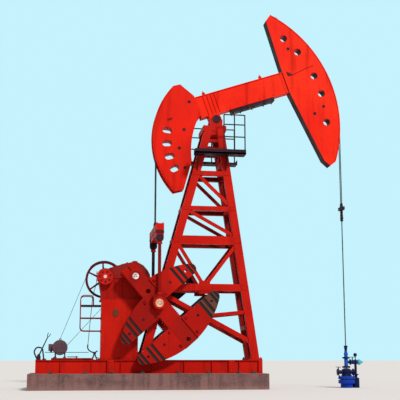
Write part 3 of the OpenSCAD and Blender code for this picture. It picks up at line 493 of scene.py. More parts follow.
def leaned(shape, origin, angle):
    """Turns a shape in the X-Z plane about its zero point and puts that at origin: x and z
    become x cos - z sin and x sin + z cos."""
    points, faces = shape
    x = points[:, 0] * math.cos(angle) - points[:, 2] * math.sin(angle)
    z = points[:, 0] * math.sin(angle) + points[:, 2] * math.cos(angle)
    return np.stack([origin[0] + x, points[:, 1], origin[1] + z], -1), faces


rim = groove_section(WHEEL_R, GROOVES, WHEEL_HALF) + [(RIM_IN, WHEEL_HALF), (RIM_IN, 0.02),
                                                      (RIM_IN - 0.02, 0), (RIM_IN, -0.02),
                                                      (RIM_IN, -WHEEL_HALF)]
hub = turned([(0, -WHEEL_HALF), (HUB_R - 0.01, -WHEEL_HALF), (HUB_R, 0.01 - WHEEL_HALF),
              (HUB_R, WHEEL_HALF - 0.01), (HUB_R - 0.01, WHEEL_HALF), (0, WHEEL_HALF)], 40)
wheel = [aim(join(hoop(rim, 96), hub), (input_x, WHEEL_Y, input_z), ACROSS),
         aim(rod(0.054, 0, 0.945, 28), (input_x, -0.445, input_z), ACROSS)]
reach = np.linspace(HUB_R - 0.02, RIM_IN + 0.01, 9)[:, None]
around = np.arange(16)[None, :] * np.pi / 8
across = 0.036 - 0.012 * (reach - HUB_R) / (RIM_IN - HUB_R)
spoke = loft(np.stack([reach + 0 * around, across * np.cos(around),
                       0.62 * across * np.sin(around)], -1))
for i in range(6):
    wheel.append(leaned(upright(spoke, WHEEL_Y), (input_x, input_z), math.radians(35 + 60 * i)))
for side in (-1, 1):
    wheel.append(ring_of_bolts(0.095, 6, 0.013, (input_x, WHEEL_Y + side * WHEEL_HALF, input_z),
                               axis=(0, side, 0)))
wheel_paint = enamel("wheel_enamel", (0.1, 0.004, 0.012), (0.14, 0.008, 0.02), OILY_RED,
                     RED_DUST, 0.55)
piece("belt_wheel_casting", join(*wheel), wheel_paint, "input_shaft",
      ("belt_wheel",))

finish(cast_red, "brake_drum")
DRUM_FACE = -0.555
disc = aim(turned([(0, 0), (0.247, 0), (0.247, 0.006), (0.24, 0.012), (0.222, 0.012),
                   (0.215, 0.004), (0.115, 0.004), (0.108, 0.016), (0.075, 0.016),
                   (0, 0.016)], 56), (input_x, DRUM_FACE, input_z), (0, -1, 0))
piece("brake_disc", disc, red, "input_shaft")
piece("brake_disc_bolts", ring_of_bolts(0.165, 7, 0.026, (input_x, DRUM_FACE - 0.003, input_z),
                                        0.3, (0, -1, 0)), black_paint, "input_shaft")
pale = bare_metal("pale_cap", (0.8, 0.55, 0.52), (0.5, 0.28, 0.25), 0.45, 0.1)
piece("brake_hub_cap", aim(turned([(0, 0.01), (0.056, 0.01), (0.056, 0.034), (0.046, 0.042),
                                   (0, 0.042)], 28), (input_x, DRUM_FACE, input_z),
                           (0, -1, 0)), pale, "input_shaft")


def tube(path, radius, sides=12):
    """A round bar along a path: at each point a circle square to the path, set out along
    two units that are square to its direction; radius may vary along it."""
    path = np.asarray(path, float)
    along = np.gradient(path, axis=0)
    along /= np.linalg.norm(along, axis=1)[:, None]
    fixed = np.eye(3)[np.argmin(np.abs(along).max(0))]
    side = np.cross(along, fixed)
    side /= np.linalg.norm(side, axis=1)[:, None]
    other = np.cross(along, side)
    angle = np.arange(sides)[None, :, None] * 2 * np.pi / sides
    radius = np.broadcast_to(np.asarray(radius, float), (len(path),))[:, None, None]
    return loft(path[:, None] + radius * (np.cos(angle) * side[:, None]
                                          + np.sin(angle) * other[:, None]))


def rounded(corners, radius, steps=7):
    """A path through corners, each rounded by a curve between points at radius on its two
    legs: the weights are (1-t)^2, 2t(1-t) and t^2 of the first point, corner and last."""
    corners = np.asarray(corners, float)
    path = [corners[:1]]
    t = np.linspace(0, 1, steps)[:, None]
    for before, here, after in zip(corners, corners[1:], corners[2:]):
        a = here + (before - here) * radius / np.linalg.norm(before - here)
        b = here + (after - here) * radius / np.linalg.norm(after - here)
        path.append((1 - t) ** 2 * a + 2 * t * (1 - t) * here + t ** 2 * b)
    return np.concatenate(path + [corners[-1:]])


BAND_IN, BAND_OUT, BAND_HALF, DRUM_Y, SCREW_X = 0.256, 0.268, 0.04, -0.5, -3.85
turn = np.radians(np.linspace(205, 515, 60))[:, None]
section = np.array([(BAND_IN, -BAND_HALF), (BAND_OUT, -BAND_HALF), (BAND_OUT, BAND_HALF),
                    (BAND_IN, BAND_HALF)])
band = loft(np.stack([input_x + section[:, 0] * np.cos(turn),
                      DRUM_Y + section[:, 1] + 0 * turn,
                      input_z + section[:, 0] * np.sin(turn)], -1))
lugs = [block((-3.87, -0.53, z), (-3.815, -0.47, z + 0.02)) for z in (3.335, 3.545)]
screw = tube([(SCREW_X, DRUM_Y, 3.3), (SCREW_X, DRUM_Y, 3.62)], 0.011)
piece("brake_band", join(band, screw, *lugs), deep_red, "root")

# Motor: a ribbed cast frame with an end bell, a fan cowl with a slotted face, a terminal
# box with its cable gland, and two feet on the slide rails.
MOTOR_GREY = (0.05, 0.022, 0.034)
MOTOR_PALE = (0.11, 0.06, 0.08)
motor_paint = enamel("motor_enamel", MOTOR_GREY, MOTOR_PALE, (0.02, 0.012, 0.016),
                     (0.24, 0.16, 0.15), 0.5, 0.4, 0.4)
motor_x, _, motor_z = joint["motor_pulley_spin"]["pos_m"]
FINS, FIN_TIP, FIN_ROOT = 36, 0.232, 0.205
fin = np.arange(4 * FINS)
fin_r = np.where((fin % 4 == 1) | (fin % 4 == 2), FIN_TIP, FIN_ROOT)
fin_a = (fin + np.where(fin % 2 == 0, 0.25, -0.25)) * 2 * np.pi / (4 * FINS)
fin_line = np.stack([fin_r * np.cos(fin_a), fin_r * np.sin(fin_a)], -1)


def round_ring(radius, thick, sides=24):
    """A round bar bent to a ring about Z: a circle of eight points carried round a circle."""
    angle = np.arange(8) * np.pi / 4
    return hoop(np.stack([radius + thick * np.cos(angle), thick * np.sin(angle)], -1), sides)


cowl = [(0, -0.285)]
for r in (0.03, 0.07, 0.11, 0.15):
    cowl += [(r, -0.285), (r + 0.006, -0.277), (r + 0.02, -0.277), (r + 0.026, -0.285)]
cowl += [(0.19, -0.285), (0.222, -0.278), (0.234, -0.255), (0.234, -0.1), (0.2, -0.1), (0, -0.1)]
motor = [aim(plate(fin_line, -0.11, 0.29, 0.002), (motor_x, 0, motor_z), ACROSS),
         aim(turned(cowl, 48), (motor_x, 0, motor_z), ACROSS),
         aim(turned([(0, 0.28), (0.226, 0.28), (0.226, 0.315), (0.19, 0.345), (0.09, 0.36),
                     (0.06, 0.362), (0.035, 0.365), (0.035, 0.4), (0, 0.4)], 40),
             (motor_x, 0, motor_z), ACROSS),
         block((-5.285, -0.115, 1.165), (-5.13, 0.095, 1.352), 0.012),
         block((-5.29, -0.12, 1.356), (-5.125, 0.1, 1.378), 0.008),
         aim(turned([(0, 0), (0.032, 0), (0.032, 0.05), (0.02, 0.06), (0, 0.06)], 6),
             (-5.2, -0.01, 1.17), (0, 0, -1)),
         aim(round_ring(0.03, 0.009, 20), (motor_x, 0.09, 1.522), ACROSS)]
for x0, x1 in ((-5.12, -5.03), (-4.83, -4.74)):
    motor.append(block((x0, -0.15, 0.951), (x1, 0.23, 0.985)))
    motor.append(block((x0 + 0.03, -0.12, 0.98), (x1 - 0.02, 0.2, 1.12)))
    motor.append(repeat(hex_bolt(0.014), [((x0 + x1) / 2 + 0.02, y, 0.985)
                                          for y in (-0.1, 0.18)]))
piece("motor_body", join(*motor), motor_paint, "root", ("motor",))
finish(deep_red, "motor_rails", "motor_pulley")
screw = join(tube([(-4.7, 0, 0.985), (-4.36, 0, 0.985)], 0.012),
             block((-4.44, -0.03, 0.95), (-4.4, 0.03, 1.01)),
             repeat(hex_bolt(0.02), [(x, 0, 0.95) for x in (-5.12, -3.9, -3.76)]))
piece("motor_slide_screws", repeat(screw, [(0, y, 0) for y in (-0.17, 0.16)]), old_steel, "root")

# Drive belts: four vee belts round the wheel and the motor pulley.
PULLEY_R = 0.11


def belt_path(big, big_r, small, small_r, steps=48):
    """The loop round two circles: an arc on each and two straight runs that touch both. The
    arcs end where the radius is square to a run, acos((R - r) / distance) either side."""
    gap = np.array(big) - small
    lean = math.atan2(gap[1], gap[0])
    half = math.acos((big_r - small_r) / np.linalg.norm(gap))
    over = np.linspace(lean - half, lean + half, steps)
    under = np.linspace(lean + half, lean - half + 2 * np.pi, steps // 2)
    points = np.concatenate([big + big_r * np.stack([np.cos(over), np.sin(over)], -1),
                             small + small_r * np.stack([np.cos(under), np.sin(under)], -1)])
    angle = np.concatenate([over, under])
    return points, np.stack([np.cos(angle), np.sin(angle)], -1)


ground, outward = belt_path((input_x, input_z), WHEEL_R + 0.003, (motor_x, motor_z),
                            PULLEY_R + 0.003)
vee = np.array([(-0.002, -0.005), (0.0105, -0.0085), (0.0105, 0.0085), (-0.002, 0.005)])
rings = np.stack([ground[:, None, 0] + outward[:, None, 0] * vee[:, 0],
                  WHEEL_Y + vee[:, 1] + 0 * ground[:, None, 0],
                  ground[:, None, 1] + outward[:, None, 1] * vee[:, 0]], -1)
rubber = enamel("belt_rubber", (0.018, 0.012, 0.014), (0.04, 0.03, 0.03), (0.01, 0.008, 0.008),
                (0.08, 0.05, 0.045), 0.75, 0.2, 0.3)
piece("vee_belts", repeat(loft(rings, loop=True), [(0, (i - 1.5) * GROOVE_PITCH, 0)
                                                  for i in range(GROOVES)]),
      rubber, "root", ("drive_belts",))

# Derrick: two braced side frames of channels, tied together and capped. Its feet are
# bolted to the skid, and bolted plates join the level members to the legs.
finish(red, "derrick_side_near", "derrick_cap", "derrick_cross_ties")
# The far side frame's deeper red is painted shade: a darker copy of the near frame's paint, for
# the shade it stands in.
finish(deep_red, "derrick_side_far")
LEG_FACE, FOOT_TOP, LEGS_TOP, SKID_TOP, CAP_TOP = 0.56, 0.92, 8.3, 0.89, 8.475
LEVELS = (3.16, 4.675, 5.71, 6.87)
FRONT_LEG, REAR_LEG = (0.09, 1.18), (-0.32, -2.37)
FRONT_RUN, REAR_RUN = -0.147, 0.277
PLATE_T, PLATE_SINK, PLATE_HALF = 0.01, 0.002, 0.1


def leg_x(leg, z):
    """The middle of a sloping leg at height z, on a straight line from its foot to its top."""
    top, foot = leg
    return foot + (top - foot) * (z - SKID_TOP) / (LEGS_TOP - SKID_TOP)


derrick = [repeat(hex_bolt(0.026, 0.03), [(foot + dx, y, FOOT_TOP)
                                          for _, foot in (FRONT_LEG, REAR_LEG)
                                          for dx in (-0.18, 0.18) for y in (0.42, 0.54)]),
           repeat(hex_bolt(0.022), [(x, y, CAP_TOP) for x in (-0.45, 0.255) for y in (0.3, 0.5)])]
for z in LEVELS:
    half = 0.1 if z < 5 else 0.07
    for leg, run in ((FRONT_LEG, FRONT_RUN), (REAR_LEG, REAR_RUN)):
        x, lean = leg_x(leg, z), run * half
        outline = [(x + lean - PLATE_HALF, z + half), (x - lean - PLATE_HALF, z - half),
                   (x - lean + PLATE_HALF, z - half), (x + lean + PLATE_HALF, z + half)]
        derrick.append(upright(plate(outline, 0, PLATE_T + PLATE_SINK), LEG_FACE - PLATE_SINK))
        derrick.append(bolts_at([(x + dx, LEG_FACE + PLATE_T, z + dz) for dx in (-0.06, 0, 0.06)
                                 for dz in (-0.6 * half, 0.6 * half)], 0.012))
middle = (leg_x(FRONT_LEG, LEVELS[0]) + leg_x(REAR_LEG, LEVELS[0])) / 2
derrick.append(bolts_at([(middle + dx, 0.54, LEVELS[0] + dz)
                         for dx in (-0.14, -0.05, 0.05, 0.14) for dz in (-0.16, 0.16)], 0.014))
piece("derrick_joint_plates", mirrored(*derrick), red, "root")

# Work decks: a plate at each side of the saddle, black as painted shade for the shade under
# it, with a raised lozenge tread, toe boards on three edges, and a pipe railing welded into
# sockets.
DECK_TOP, DECK_LOW, TOE_TOP = 7.5, 7.44, 7.6
DECK_BACK, DECK_FRONT, DECK_IN, DECK_OUT, TOE_T = -0.8, 0.86, 0.57, 0.95, 0.012
POST_Y = 0.925
# The decks' black is painted shade, for the shade under them; their treads and toe boards share
# the same black.
finish(black_paint, "deck_near", "deck_far", "railing_near", "railing_far")
lozenge_line = [(0.016, 0), (0, 0.006), (-0.016, 0), (0, -0.006)]
tread = np.array([(*p, 0) for p in lozenge_line] + [(0.3 * x, 0.3 * y, 0.003)
                                                   for x, y in lozenge_line])
lozenge = (tread, [[0, 1, 5, 4], [1, 2, 6, 5], [2, 3, 7, 6], [3, 0, 4, 7], [4, 5, 6, 7],
                   [3, 2, 1, 0]])
leaning = (tread[:, [1, 0, 2]] * (-1, 1, 1), lozenge[1])
spots = [(x, side * y, DECK_TOP) for x in np.arange(-0.76, 0.85, 0.06)
         for y in np.arange(0.6, 0.94, 0.06) for side in (-1, 1)]
shifted = [(x + 0.03, y + 0.03 * np.sign(y), z) for x, y, z in spots if abs(y) < 0.9]
piece("deck_treads", join(repeat(lozenge, spots), repeat(leaning, shifted)), black_paint,
      "root")
boards = [block((x0, y0, DECK_LOW), (x1, y1, TOE_TOP), 0.003)
          for x0, y0, x1, y1 in ((DECK_BACK, DECK_OUT - TOE_T, DECK_FRONT, DECK_OUT),
                                 (DECK_BACK, DECK_IN, DECK_BACK + TOE_T, DECK_OUT - TOE_T),
                                 (DECK_FRONT - TOE_T, DECK_IN, DECK_FRONT, DECK_OUT - TOE_T))]
sockets = [aim(turned([(0.02, 0), (0.034, 0), (0.034, 0.03), (0.024, 0.045), (0.0205, 0.045)],
                      20), (x, side * POST_Y, DECK_TOP))
           for side, posts in ((-1, (0.14, 0.485, 0.83)), (1, (-0.77, 0.03, 0.83)))
           for x in posts]
piece("deck_toe_boards", join(mirrored(*boards), *sockets), black_paint, "root")

# Saddle bearing: two split plummer blocks in red with black end seals, each with a ring of
# cap bolts, held down on the derrick's cap by long studs. The seals' black is painted
# shade, for the shadow that falls on the bearing's ends.
finish(red, "saddle_bearing")
finish(black_paint, "saddle_shaft")
PIVOT_Z = joint["beam_rock"]["pos_m"][2]
SEAL_Y, BLOCK_FOOT = 0.304, 8.56
seal = hoop([(0.098, 0), (0.14, 0), (0.136, 0.012), (0.098, 0.012)], 40)
piece("saddle_bolts",
      mirrored(aim(seal, (0, SEAL_Y, PIVOT_Z), ACROSS),
               ring_of_bolts(0.118, 8, 0.011, (0, SEAL_Y + 0.01, PIVOT_Z)),
               repeat(hex_bolt(0.022, 0.03), [(x, 0.25, BLOCK_FOOT) for x in (-0.24, 0.24)])),
      black_paint, "root")

# Service rails behind the pedestal: two bent pipe loops, a step between them and short
# cross rungs, all welded to the pedestal's back.
FRAME_R, FRAME_Y, FRAME_BACK, PEDESTAL_BACK = 0.015, (-0.33, 0.21), -4.33, -3.68
RAIL_LOW, RAIL_MID, RAIL_TOP, RAIL_FRONT, STEP_Z = 1.78, 2.18, 2.88, -3.93, 2.54
loop = [tube(rounded([(PEDESTAL_BACK, 0, RAIL_LOW), (FRAME_BACK, 0, RAIL_LOW),
                      (FRAME_BACK, 0, RAIL_TOP), (RAIL_FRONT, 0, RAIL_TOP),
                      (RAIL_FRONT, 0, STEP_Z + 0.02)], 0.13), FRAME_R),
        tube([(PEDESTAL_BACK, 0, RAIL_MID), (FRAME_BACK, 0, RAIL_MID)], 0.013)]
loop += [aim(rod(0.05, 0, 0.012), (PEDESTAL_BACK, 0, z), (-1, 0, 0))
         for z in (RAIL_LOW, RAIL_MID)]
rungs = [tube([(FRAME_BACK, y, z) for y in FRAME_Y], 0.012) for z in (1.95, RAIL_MID, 2.7)]
piece("service_rails", join(repeat(join(*loop), [(0, y, 0) for y in FRAME_Y]), *rungs), deep_red,
      "root", ("service_frame",))
STEP_FRONT, STEP_T = -3.695, 0.012
step = [block((FRAME_BACK, FRAME_Y[0], STEP_Z), (STEP_FRONT, FRAME_Y[1], STEP_Z + STEP_T))]
for y in (FRAME_Y[0], FRAME_Y[1] - STEP_T):
    step.append(block((FRAME_BACK, y, STEP_Z), (STEP_FRONT, y + STEP_T, STEP_Z + 0.045)))
step.append(repeat(block((0, FRAME_Y[0] + 0.02, STEP_Z + STEP_T),
                         (0.006, FRAME_Y[1] - 0.02, STEP_Z + 0.03), 0.001),
                   [(x, 0, 0) for x in np.arange(-4.3, -3.72, 0.05)]))
piece("service_step", join(*step), black_paint, "root")

# Brake: a hand lever with a forked top on a bent guard hoop, a thin rod along the skid to
# a bellcrank on a small trestle, and a pull rod from it up to the drum's band.
lever_x, lever_y, lever_z = joint["brake_lever_pull"]["pos_m"]
cheek = [(-0.06, 0), (0.06, 0), (0.06, 0.1), (0.035, 0.165), (0.0, 0.185), (-0.035, 0.165),
         (-0.06, 0.1)]
GUARD_Y, ROD_Z, BELL_X = -0.55, 1.12, -3.87
bell_pin = (BELL_X, lever_y, 1.09)
linkage = [upright(plate(cheek, 0, 0.02), lever_y + shift, lever_x, SKID_TOP)
           for shift in (-0.045, 0.025)]
linkage += [block((x0, lever_y - half, SKID_TOP), (x1, lever_y + half, SKID_TOP + thick))
            for x0, x1, half, thick in ((lever_x - 0.09, lever_x + 0.09, 0.08, 0.014),
                                        (-4.0, -3.74, 0.06, 0.012))]
# the guard hoop, the rod to the bellcrank, its two arms, its trestle and the pull rod
linkage += [tube(rounded([(x, GUARD_Y, z) for x, z in ((-5.6, 0.9), (-5.71, 1.14), (-5.62, 1.28),
                                                       (-5.45, 1.25), (-5.4, 0.9))], 0.07), 0.022),
            tube([(-5.38, lever_y, ROD_Z), (-4.05, lever_y, ROD_Z)], 0.009),
            tube(rounded([(-4.08, lever_y, 1.36), (-4.09, lever_y, 1.2), bell_pin,
                          (-3.78, lever_y, 1.17)], 0.1), 0.019),
            aim(rod(0.045, -0.045, 0.045, 24), bell_pin, ACROSS),
            *[tube([bell_pin, (BELL_X + dx, lever_y, SKID_TOP)], 0.02) for dx in (-0.08, 0.08)],
            tube([(-4.08, lever_y, 1.34), (-3.97, -0.49, 2.8), (SCREW_X, DRUM_Y, 3.31)], 0.009)]
piece("brake_linkage", join(*linkage), black_paint, "root", ("brake_stand",))

LEVER_LEAN = math.radians(24)
lean_x, lean_z = math.sin(LEVER_LEAN), math.cos(LEVER_LEAN)


def up_lever(run, side=0.0):
    """A point on the lever's line, run along it and side square to it."""
    return (lever_x + run * lean_x - side * lean_z, lever_y,
            lever_z + run * lean_z + side * lean_x)


lever = [aim(rod(0.044, -0.02, 0.02, 28), (lever_x, lever_y, lever_z), ACROSS),
         aim(rod(0.014, -0.06, 0.06, 16), (lever_x, lever_y, lever_z), ACROSS),
         tube([up_lever(s) for s in (0.03, 0.3, 0.6, 0.64)], [0.022, 0.019, 0.015, 0.015])]
for side in (-0.035, 0.035):
    lever.append(tube(rounded([up_lever(0.62), up_lever(0.67, side), up_lever(0.758, side)],
                              0.04), 0.011))
piece("brake_hand_lever", join(*lever), black_paint, "brake_lever",
      ("brake_lever",))

# Crankshaft and cranks: two long flat castings pressed on the shaft, each split behind it
# and clamped by two bolts, with toothed racks along both edges to set the weights by.
CRANK_DROP = math.radians(-49)
finish(cast_red, "crank_near", "crank_far")
finish(deep_red, "crankshaft", "wrist_pins")


def on_crank(*shapes):
    """Places shapes that are drawn along the cranks, u from the shaft in X and v in Z."""
    return leaned(join(*shapes), (crank_x, crank_z), CRANK_DROP)


CRANK_Y, CRANK_HALF, TOOTH_PITCH = 0.79, 0.255, 0.06
RING_Y, CAP_Y = 0.899, 0.914
tooth_line = [(-0.02, 0), (0.02, 0), (0.011, 0.03), (-0.011, 0.03)]
points, faces = upright(plate(tooth_line, -0.09, 0.09, 0.002), CRANK_Y, 0, CRANK_HALF)
teeth = []
for edge, start, stop in ((1, -0.36, 0.34), (1, 1.16, 1.86), (-1, -0.36, 0.63), (-1, 1.5, 1.86)):
    teeth.append(repeat((points * (1, 1, edge), faces),
                        [(u, 0, 0) for u in np.arange(start, stop, TOOTH_PITCH)]))
piece("crank_racks", on_crank(mirrored(*teeth)), cast_red, "crank")

clamps = [aim(hoop([(0.155, 0), (0.215, 0), (0.21, 0.012), (0.155, 0.012)], 48),
              (0, RING_Y, 0), ACROSS)]
for u in (-0.32, -0.23):
    for edge in (-1, 1):
        clamps.append(aim(hex_bolt(0.034, 0.02), (u, CRANK_Y, edge * (CRANK_HALF + 0.028)),
                          (0, 0, edge)))
        clamps.append(block((u - 0.045, CRANK_Y - 0.06, edge * 0.267 - 0.017),
                            (u + 0.045, CRANK_Y + 0.06, edge * 0.267 + 0.017)))
piece("crank_clamps", on_crank(mirrored(*clamps)), cast_red, "crank")

white = bare_metal("shaft_end_white", (0.82, 0.74, 0.72), (0.5, 0.3, 0.27), 0.5, 0.0)
cap = turned([(0, 0), (0.102, 0), (0.102, 0.01), (0.092, 0.018), (0.06, 0.018), (0.055, 0.012),
              (0, 0.012)], 40)
piece("shaft_end_caps", on_crank(mirrored(aim(cap, (0, CAP_Y, 0), ACROSS))), white, "crank")
piece("shaft_end_bolts", on_crank(mirrored(ring_of_bolts(0.035, 3, 0.014, (0, CAP_Y + 0.011, 0),
                                                         0.5))), old_steel, "crank")

# Counterweights: thick cast plates that grip the cranks' edges, grooved across, with the
# grooves and the tip of one left dark. Studs and long bolts hold them.
GROOVE_TONE = (0.022, 0.02, 0.018)
TIP_TONE = (0.1, 0.05, 0.03)
GROOVE_FLOOR = 0.925
WEIGHT_RED = (0.36, 0.005, 0.002)
WEIGHT_FADED = (0.5, 0.008, 0.003)


def weight_marks(tree, place, tone):
    """Dark paint where a face that looks across the machine lies below the weights' outer
    plane, a worn brown tip past 1.02 m from the crank on the outer upper weight, and more
    oil on the inner lower weight, which the gearbox drips on."""
    point, normal = place.outputs["Object"], place.outputs["Normal"]

    def size_of(value):
        return combine(tree, "ABSOLUTE", value)

    def along(u, v):
        c, s = math.cos(CRANK_DROP), math.sin(CRANK_DROP)
        way = (u * c - v * s, 0, u * s + v * c)
        return combine(tree, "SUBTRACT", dot(tree, point, way),
                       crank_x * way[0] + crank_z * way[2])

    out = along(0, 1)
    oiled = times(tree, ramp(tree, out, -0.3, -0.2, 0.5, 0),
                  ramp(tree, along(1, 0), 1.6, 1.75, 1, 0))
    tone = tint(tree, oiled, tone, OILY_RED)
    worn = times(tree, ramp(tree, out, 1.02, 1.04), ramp(tree, along(1, 0), 1.7, 1.75))
    tone = tint(tree, times(tree, worn, 0.9), tone, TIP_TONE)
    deep = times(tree, ramp(tree, size_of(axis_value(tree, point, "Y")), GROOVE_FLOOR - 0.003,
                            GROOVE_FLOOR + 0.003, 1, 0),
                 ramp(tree, size_of(axis_value(tree, normal, "Y")), 0.8, 0.9))
    return tint(tree, deep, tone, GROOVE_TONE)


weight_red = enamel("weight_enamel", WEIGHT_RED, WEIGHT_FADED, OILY_RED, RED_DUST,
                    marks=weight_marks)
finish(weight_red, "counterweights_near", "counterweights_far")
# each weight is held by studs in its leaning row of holes and by bolts along the crank's edge
WEIGHT_IN, HOLE_IN = 1.9, 0.34
studs, bolts = [], []
for side, upper, lower in ((-1, 1.13, 1.47), (1, 1.47, 1.13)):
    for edge, inner, v, lean, deep in ((1, upper, 0.69, 0.055, 0.22),
                                       (-1, lower, 0.69, 0.055, 0.22),
                                       (-1, lower, 1.3, 0.104, 0.2)):
        for u in (WEIGHT_IN + HOLE_IN - lean, inner - HOLE_IN + lean):
            studs.append(aim(rod(0.044, 0, deep), (u, side * 0.71, edge * v), (0, side, 0)))
    for edge, inner in ((1, upper), (-1, lower)):
        for u in (2.0, 2.55, inner - 0.1, inner - 0.65):
            bolts.append(aim(hex_bolt(0.03, 0.03), (u, side * 0.92, edge * 0.34), (0, side, 0)))
            bolts.append(block((u - 0.05, side * 0.92 - 0.02, edge * 0.34 - 0.05),
                               (u + 0.05, side * 0.92 + 0.02, edge * 0.34 + 0.05), 0.008))
# The studs' black ends sit in the weights' holes: painted shade, for the dark inside the holes.
piece("weight_studs", on_crank(*studs), black_paint, "crank")
piece("weight_clamp_bolts", on_crank(*bolts), cast_red, "crank")

# Wrist bearings and pitmans: a cast housing on each pin with a bolted cover and a brass
# coloured cap, a round rod with a lock nut at each end, and a black bearing at the top.
PIN_X, PIN_Z, HOUSING_FACE = -1.9418, 2.6123, 1.135
EQUALIZER_Z, EQUALIZER_TOP, TOP_PIN_Z, ROD_Y = 4.8823, 5.0923, 4.6323, 1.05
finish(deep_red, "pitman_near")
# The far pitman's black is painted shade: it stands for the shadow the far rod lies in, while the
# near rod keeps the dark red.
finish(black_paint, "pitman_far")
brass = bare_metal("cap_brass", (0.85, 0.5, 0.3), (0.45, 0.2, 0.1), 0.5, 0.35)
finish(brass, "wrist_pin_caps")
finish(red, "equalizer")
housing = [aim(hoop([(0.128, -0.002), (0.195, -0.002), (0.195, 0.012), (0.188, 0.018),
                     (0.128, 0.018)], 48), (PIN_X, HOUSING_FACE, PIN_Z), ACROSS),
           ring_of_bolts(0.162, 8, 0.014, (PIN_X, HOUSING_FACE + 0.016, PIN_Z), 0.4)]
nut = turned([(0, 0), (0.085, 0), (0.085, 0.06), (0.075, 0.07), (0, 0.07)], 6)
for z, way in ((PIN_Z + 0.258, 1), (4.515, -1)):
    housing.append(aim(nut, (PIN_X, ROD_Y, z), (0, 0, way)))
piece("wrist_housing_covers", mirrored(*housing), red, "pitmans")
centre = turned([(0, 0), (0.045, 0), (0.045, 0.006), (0.036, 0.012), (0, 0.012)], 24)
piece("wrist_cap_centres", mirrored(aim(centre, (PIN_X, 1.166, PIN_Z), ACROSS)), white, "crank")
bearing = turned([(0, 0), (0.118, 0), (0.118, 0.008), (0.108, 0.016), (0.06, 0.016),
                  (0.05, 0.024), (0, 0.024)], 36)
piece("equalizer_bearings",
      mirrored(aim(bearing, (PIN_X, 1.124, TOP_PIN_Z), ACROSS),
               ring_of_bolts(0.088, 6, 0.01, (PIN_X, 1.138, TOP_PIN_Z)),
               block((PIN_X - 0.13, ROD_Y - 0.09, EQUALIZER_Z - 0.09),
                     (PIN_X + 0.13, ROD_Y + 0.09, EQUALIZER_Z - 0.02), 0.01)),
      black_paint, "pitmans")
piece("equalizer_bolts",
      mirrored(repeat(hex_bolt(0.02, 0.015), [(PIN_X + dx, ROD_Y + dy, EQUALIZER_TOP)
                                              for dx in (-0.09, 0.09) for dy in (-0.06, 0.06)]),
               block((PIN_X - 0.12, 0.152, EQUALIZER_Z + 0.002),
                     (PIN_X + 0.12, 0.168, EQUALIZER_TOP - 0.002))),
      red, "pitmans")

# Walking beam: a welded box girder with stiffeners over the saddle, a bolted joint to the
# front head, lifting shackles on its top and a dark trim weight hung below it.
# BRIGHT_RED is painted light: a lighter copy of the machine's red, for the sun on the front head,
# and given to the beam too.
BRIGHT_RED = (0.78, 0.012, 0.002)
BRIGHT_FADED = (0.88, 0.024, 0.004)
BEAM_TILT = math.radians(19)
bright_red = enamel("bright_enamel", BRIGHT_RED, BRIGHT_FADED, OILY_RED, RED_DUST)
finish(bright_red, "walking_beam")
finish(black_paint, "beam_weight_box")


def on_beam(*shapes):
    """Places shapes that are drawn along the beam, a from the saddle in X and b in Z."""
    return leaned(join(*shapes), (0, PIVOT_Z), BEAM_TILT)


WEB_Y, JOINT_Y, RIB_Y = 0.15, 0.163, 0.178
joints = []
for a, half in ((2.7, 0.05), (-0.4, 0.04)):
    joints.append(block((a - half, WEB_Y, 0.24), (a + half, JOINT_Y, 0.93)))
    joints.append(bolts_at([(a, JOINT_Y, b) for b in np.arange(0.3, 0.9, 0.09)], 0.013))
for a in (0.62, 1.15, 1.7, 2.2):
    joints.append(block((a, WEB_Y, 0.234), (a + 0.012, RIB_Y, 0.3)))
shackles = [aim(round_ring(0.045, 0.012), (a, 0, 1.075), (1, 0, 0)) for a in (-0.065, 2.005)]
piece("beam_joint_bolts", on_beam(mirrored(*joints), *shackles), bright_red, "beam")
STRAP_HALF = 0.022
bars, straps = [], []
for a in (0.66, 0.98, 1.4, 1.82, 2.12):
    bars.append(block((a - STRAP_HALF, -0.168, 0.075), (a + STRAP_HALF, 0.168, 0.092)))
    straps.append(block((a - STRAP_HALF, 0.159, 0.08), (a + STRAP_HALF, 0.171, 0.212)))
    straps.append(aim(hex_bolt(0.014, 0.02), (a, 0.14, 0.076), (0, 0, -1)))
piece("trim_weight_hangers", on_beam(*bars, mirrored(*straps)), black_paint, "beam")

# Heads: flat steel cheeks cut with round and long holes over a curved face plate, with
# weld seams on the cheeks, small pin holes for rigging and a latch at the front joint.
# REAR_RED is painted shade: a darker copy of the front head's red, for the shade on the rear
# head's lower part.
REAR_RED = (0.64, 0.01, 0.002)
# SHADED_EDGE is painted shade: the dark that falls on the front head's faces that look back.
SHADED_EDGE = (0.03, 0.006, 0.008)


def painted_shade_on_back_edges(tree, place, tone):
    """Painted shade on the faces that look back, where the normal's X is under -0.2."""
    back = ramp(tree, axis_value(tree, place.outputs["Normal"], "X"), -0.4, -0.2, 1, 0)
    return tint(tree, back, tone, SHADED_EDGE)


front_red = enamel("front_head_enamel", BRIGHT_RED, BRIGHT_FADED, OILY_RED, RED_DUST,
                   marks=painted_shade_on_back_edges)
finish(front_red, "front_head")
rear_red = enamel("rear_head_enamel", REAR_RED, BRIGHT_RED, OILY_RED, RED_DUST)
finish(rear_red, "rear_head")
HEAD_FACE = {"front": 0.2, "rear": 0.23}
small_hole = [(0, 0.001), (0.042, 0.001), (0.046, 0.005), (0.054, 0.005), (0.056, 0), (0, 0)]
pins = [aim(turned(small_hole, 24), (a, HEAD_FACE[head], b), ACROSS)
        for head, spots in (("front", ((3.243, 1.679), (3.738, -0.605), (3.351, -0.756))),
                            ("rear", ((-0.672, 0.85), (-1.145, -0.005), (-1.5, -0.555),
                                      (-1.532, -1.234))))
        for a, b in spots]
latch = [(2.9, 0.93), (3.08, 0.76), (2.97, 0.74), (2.9, 0.78)]
pins.append(upright(plate(latch, 0, 0.014), HEAD_FACE["front"]))
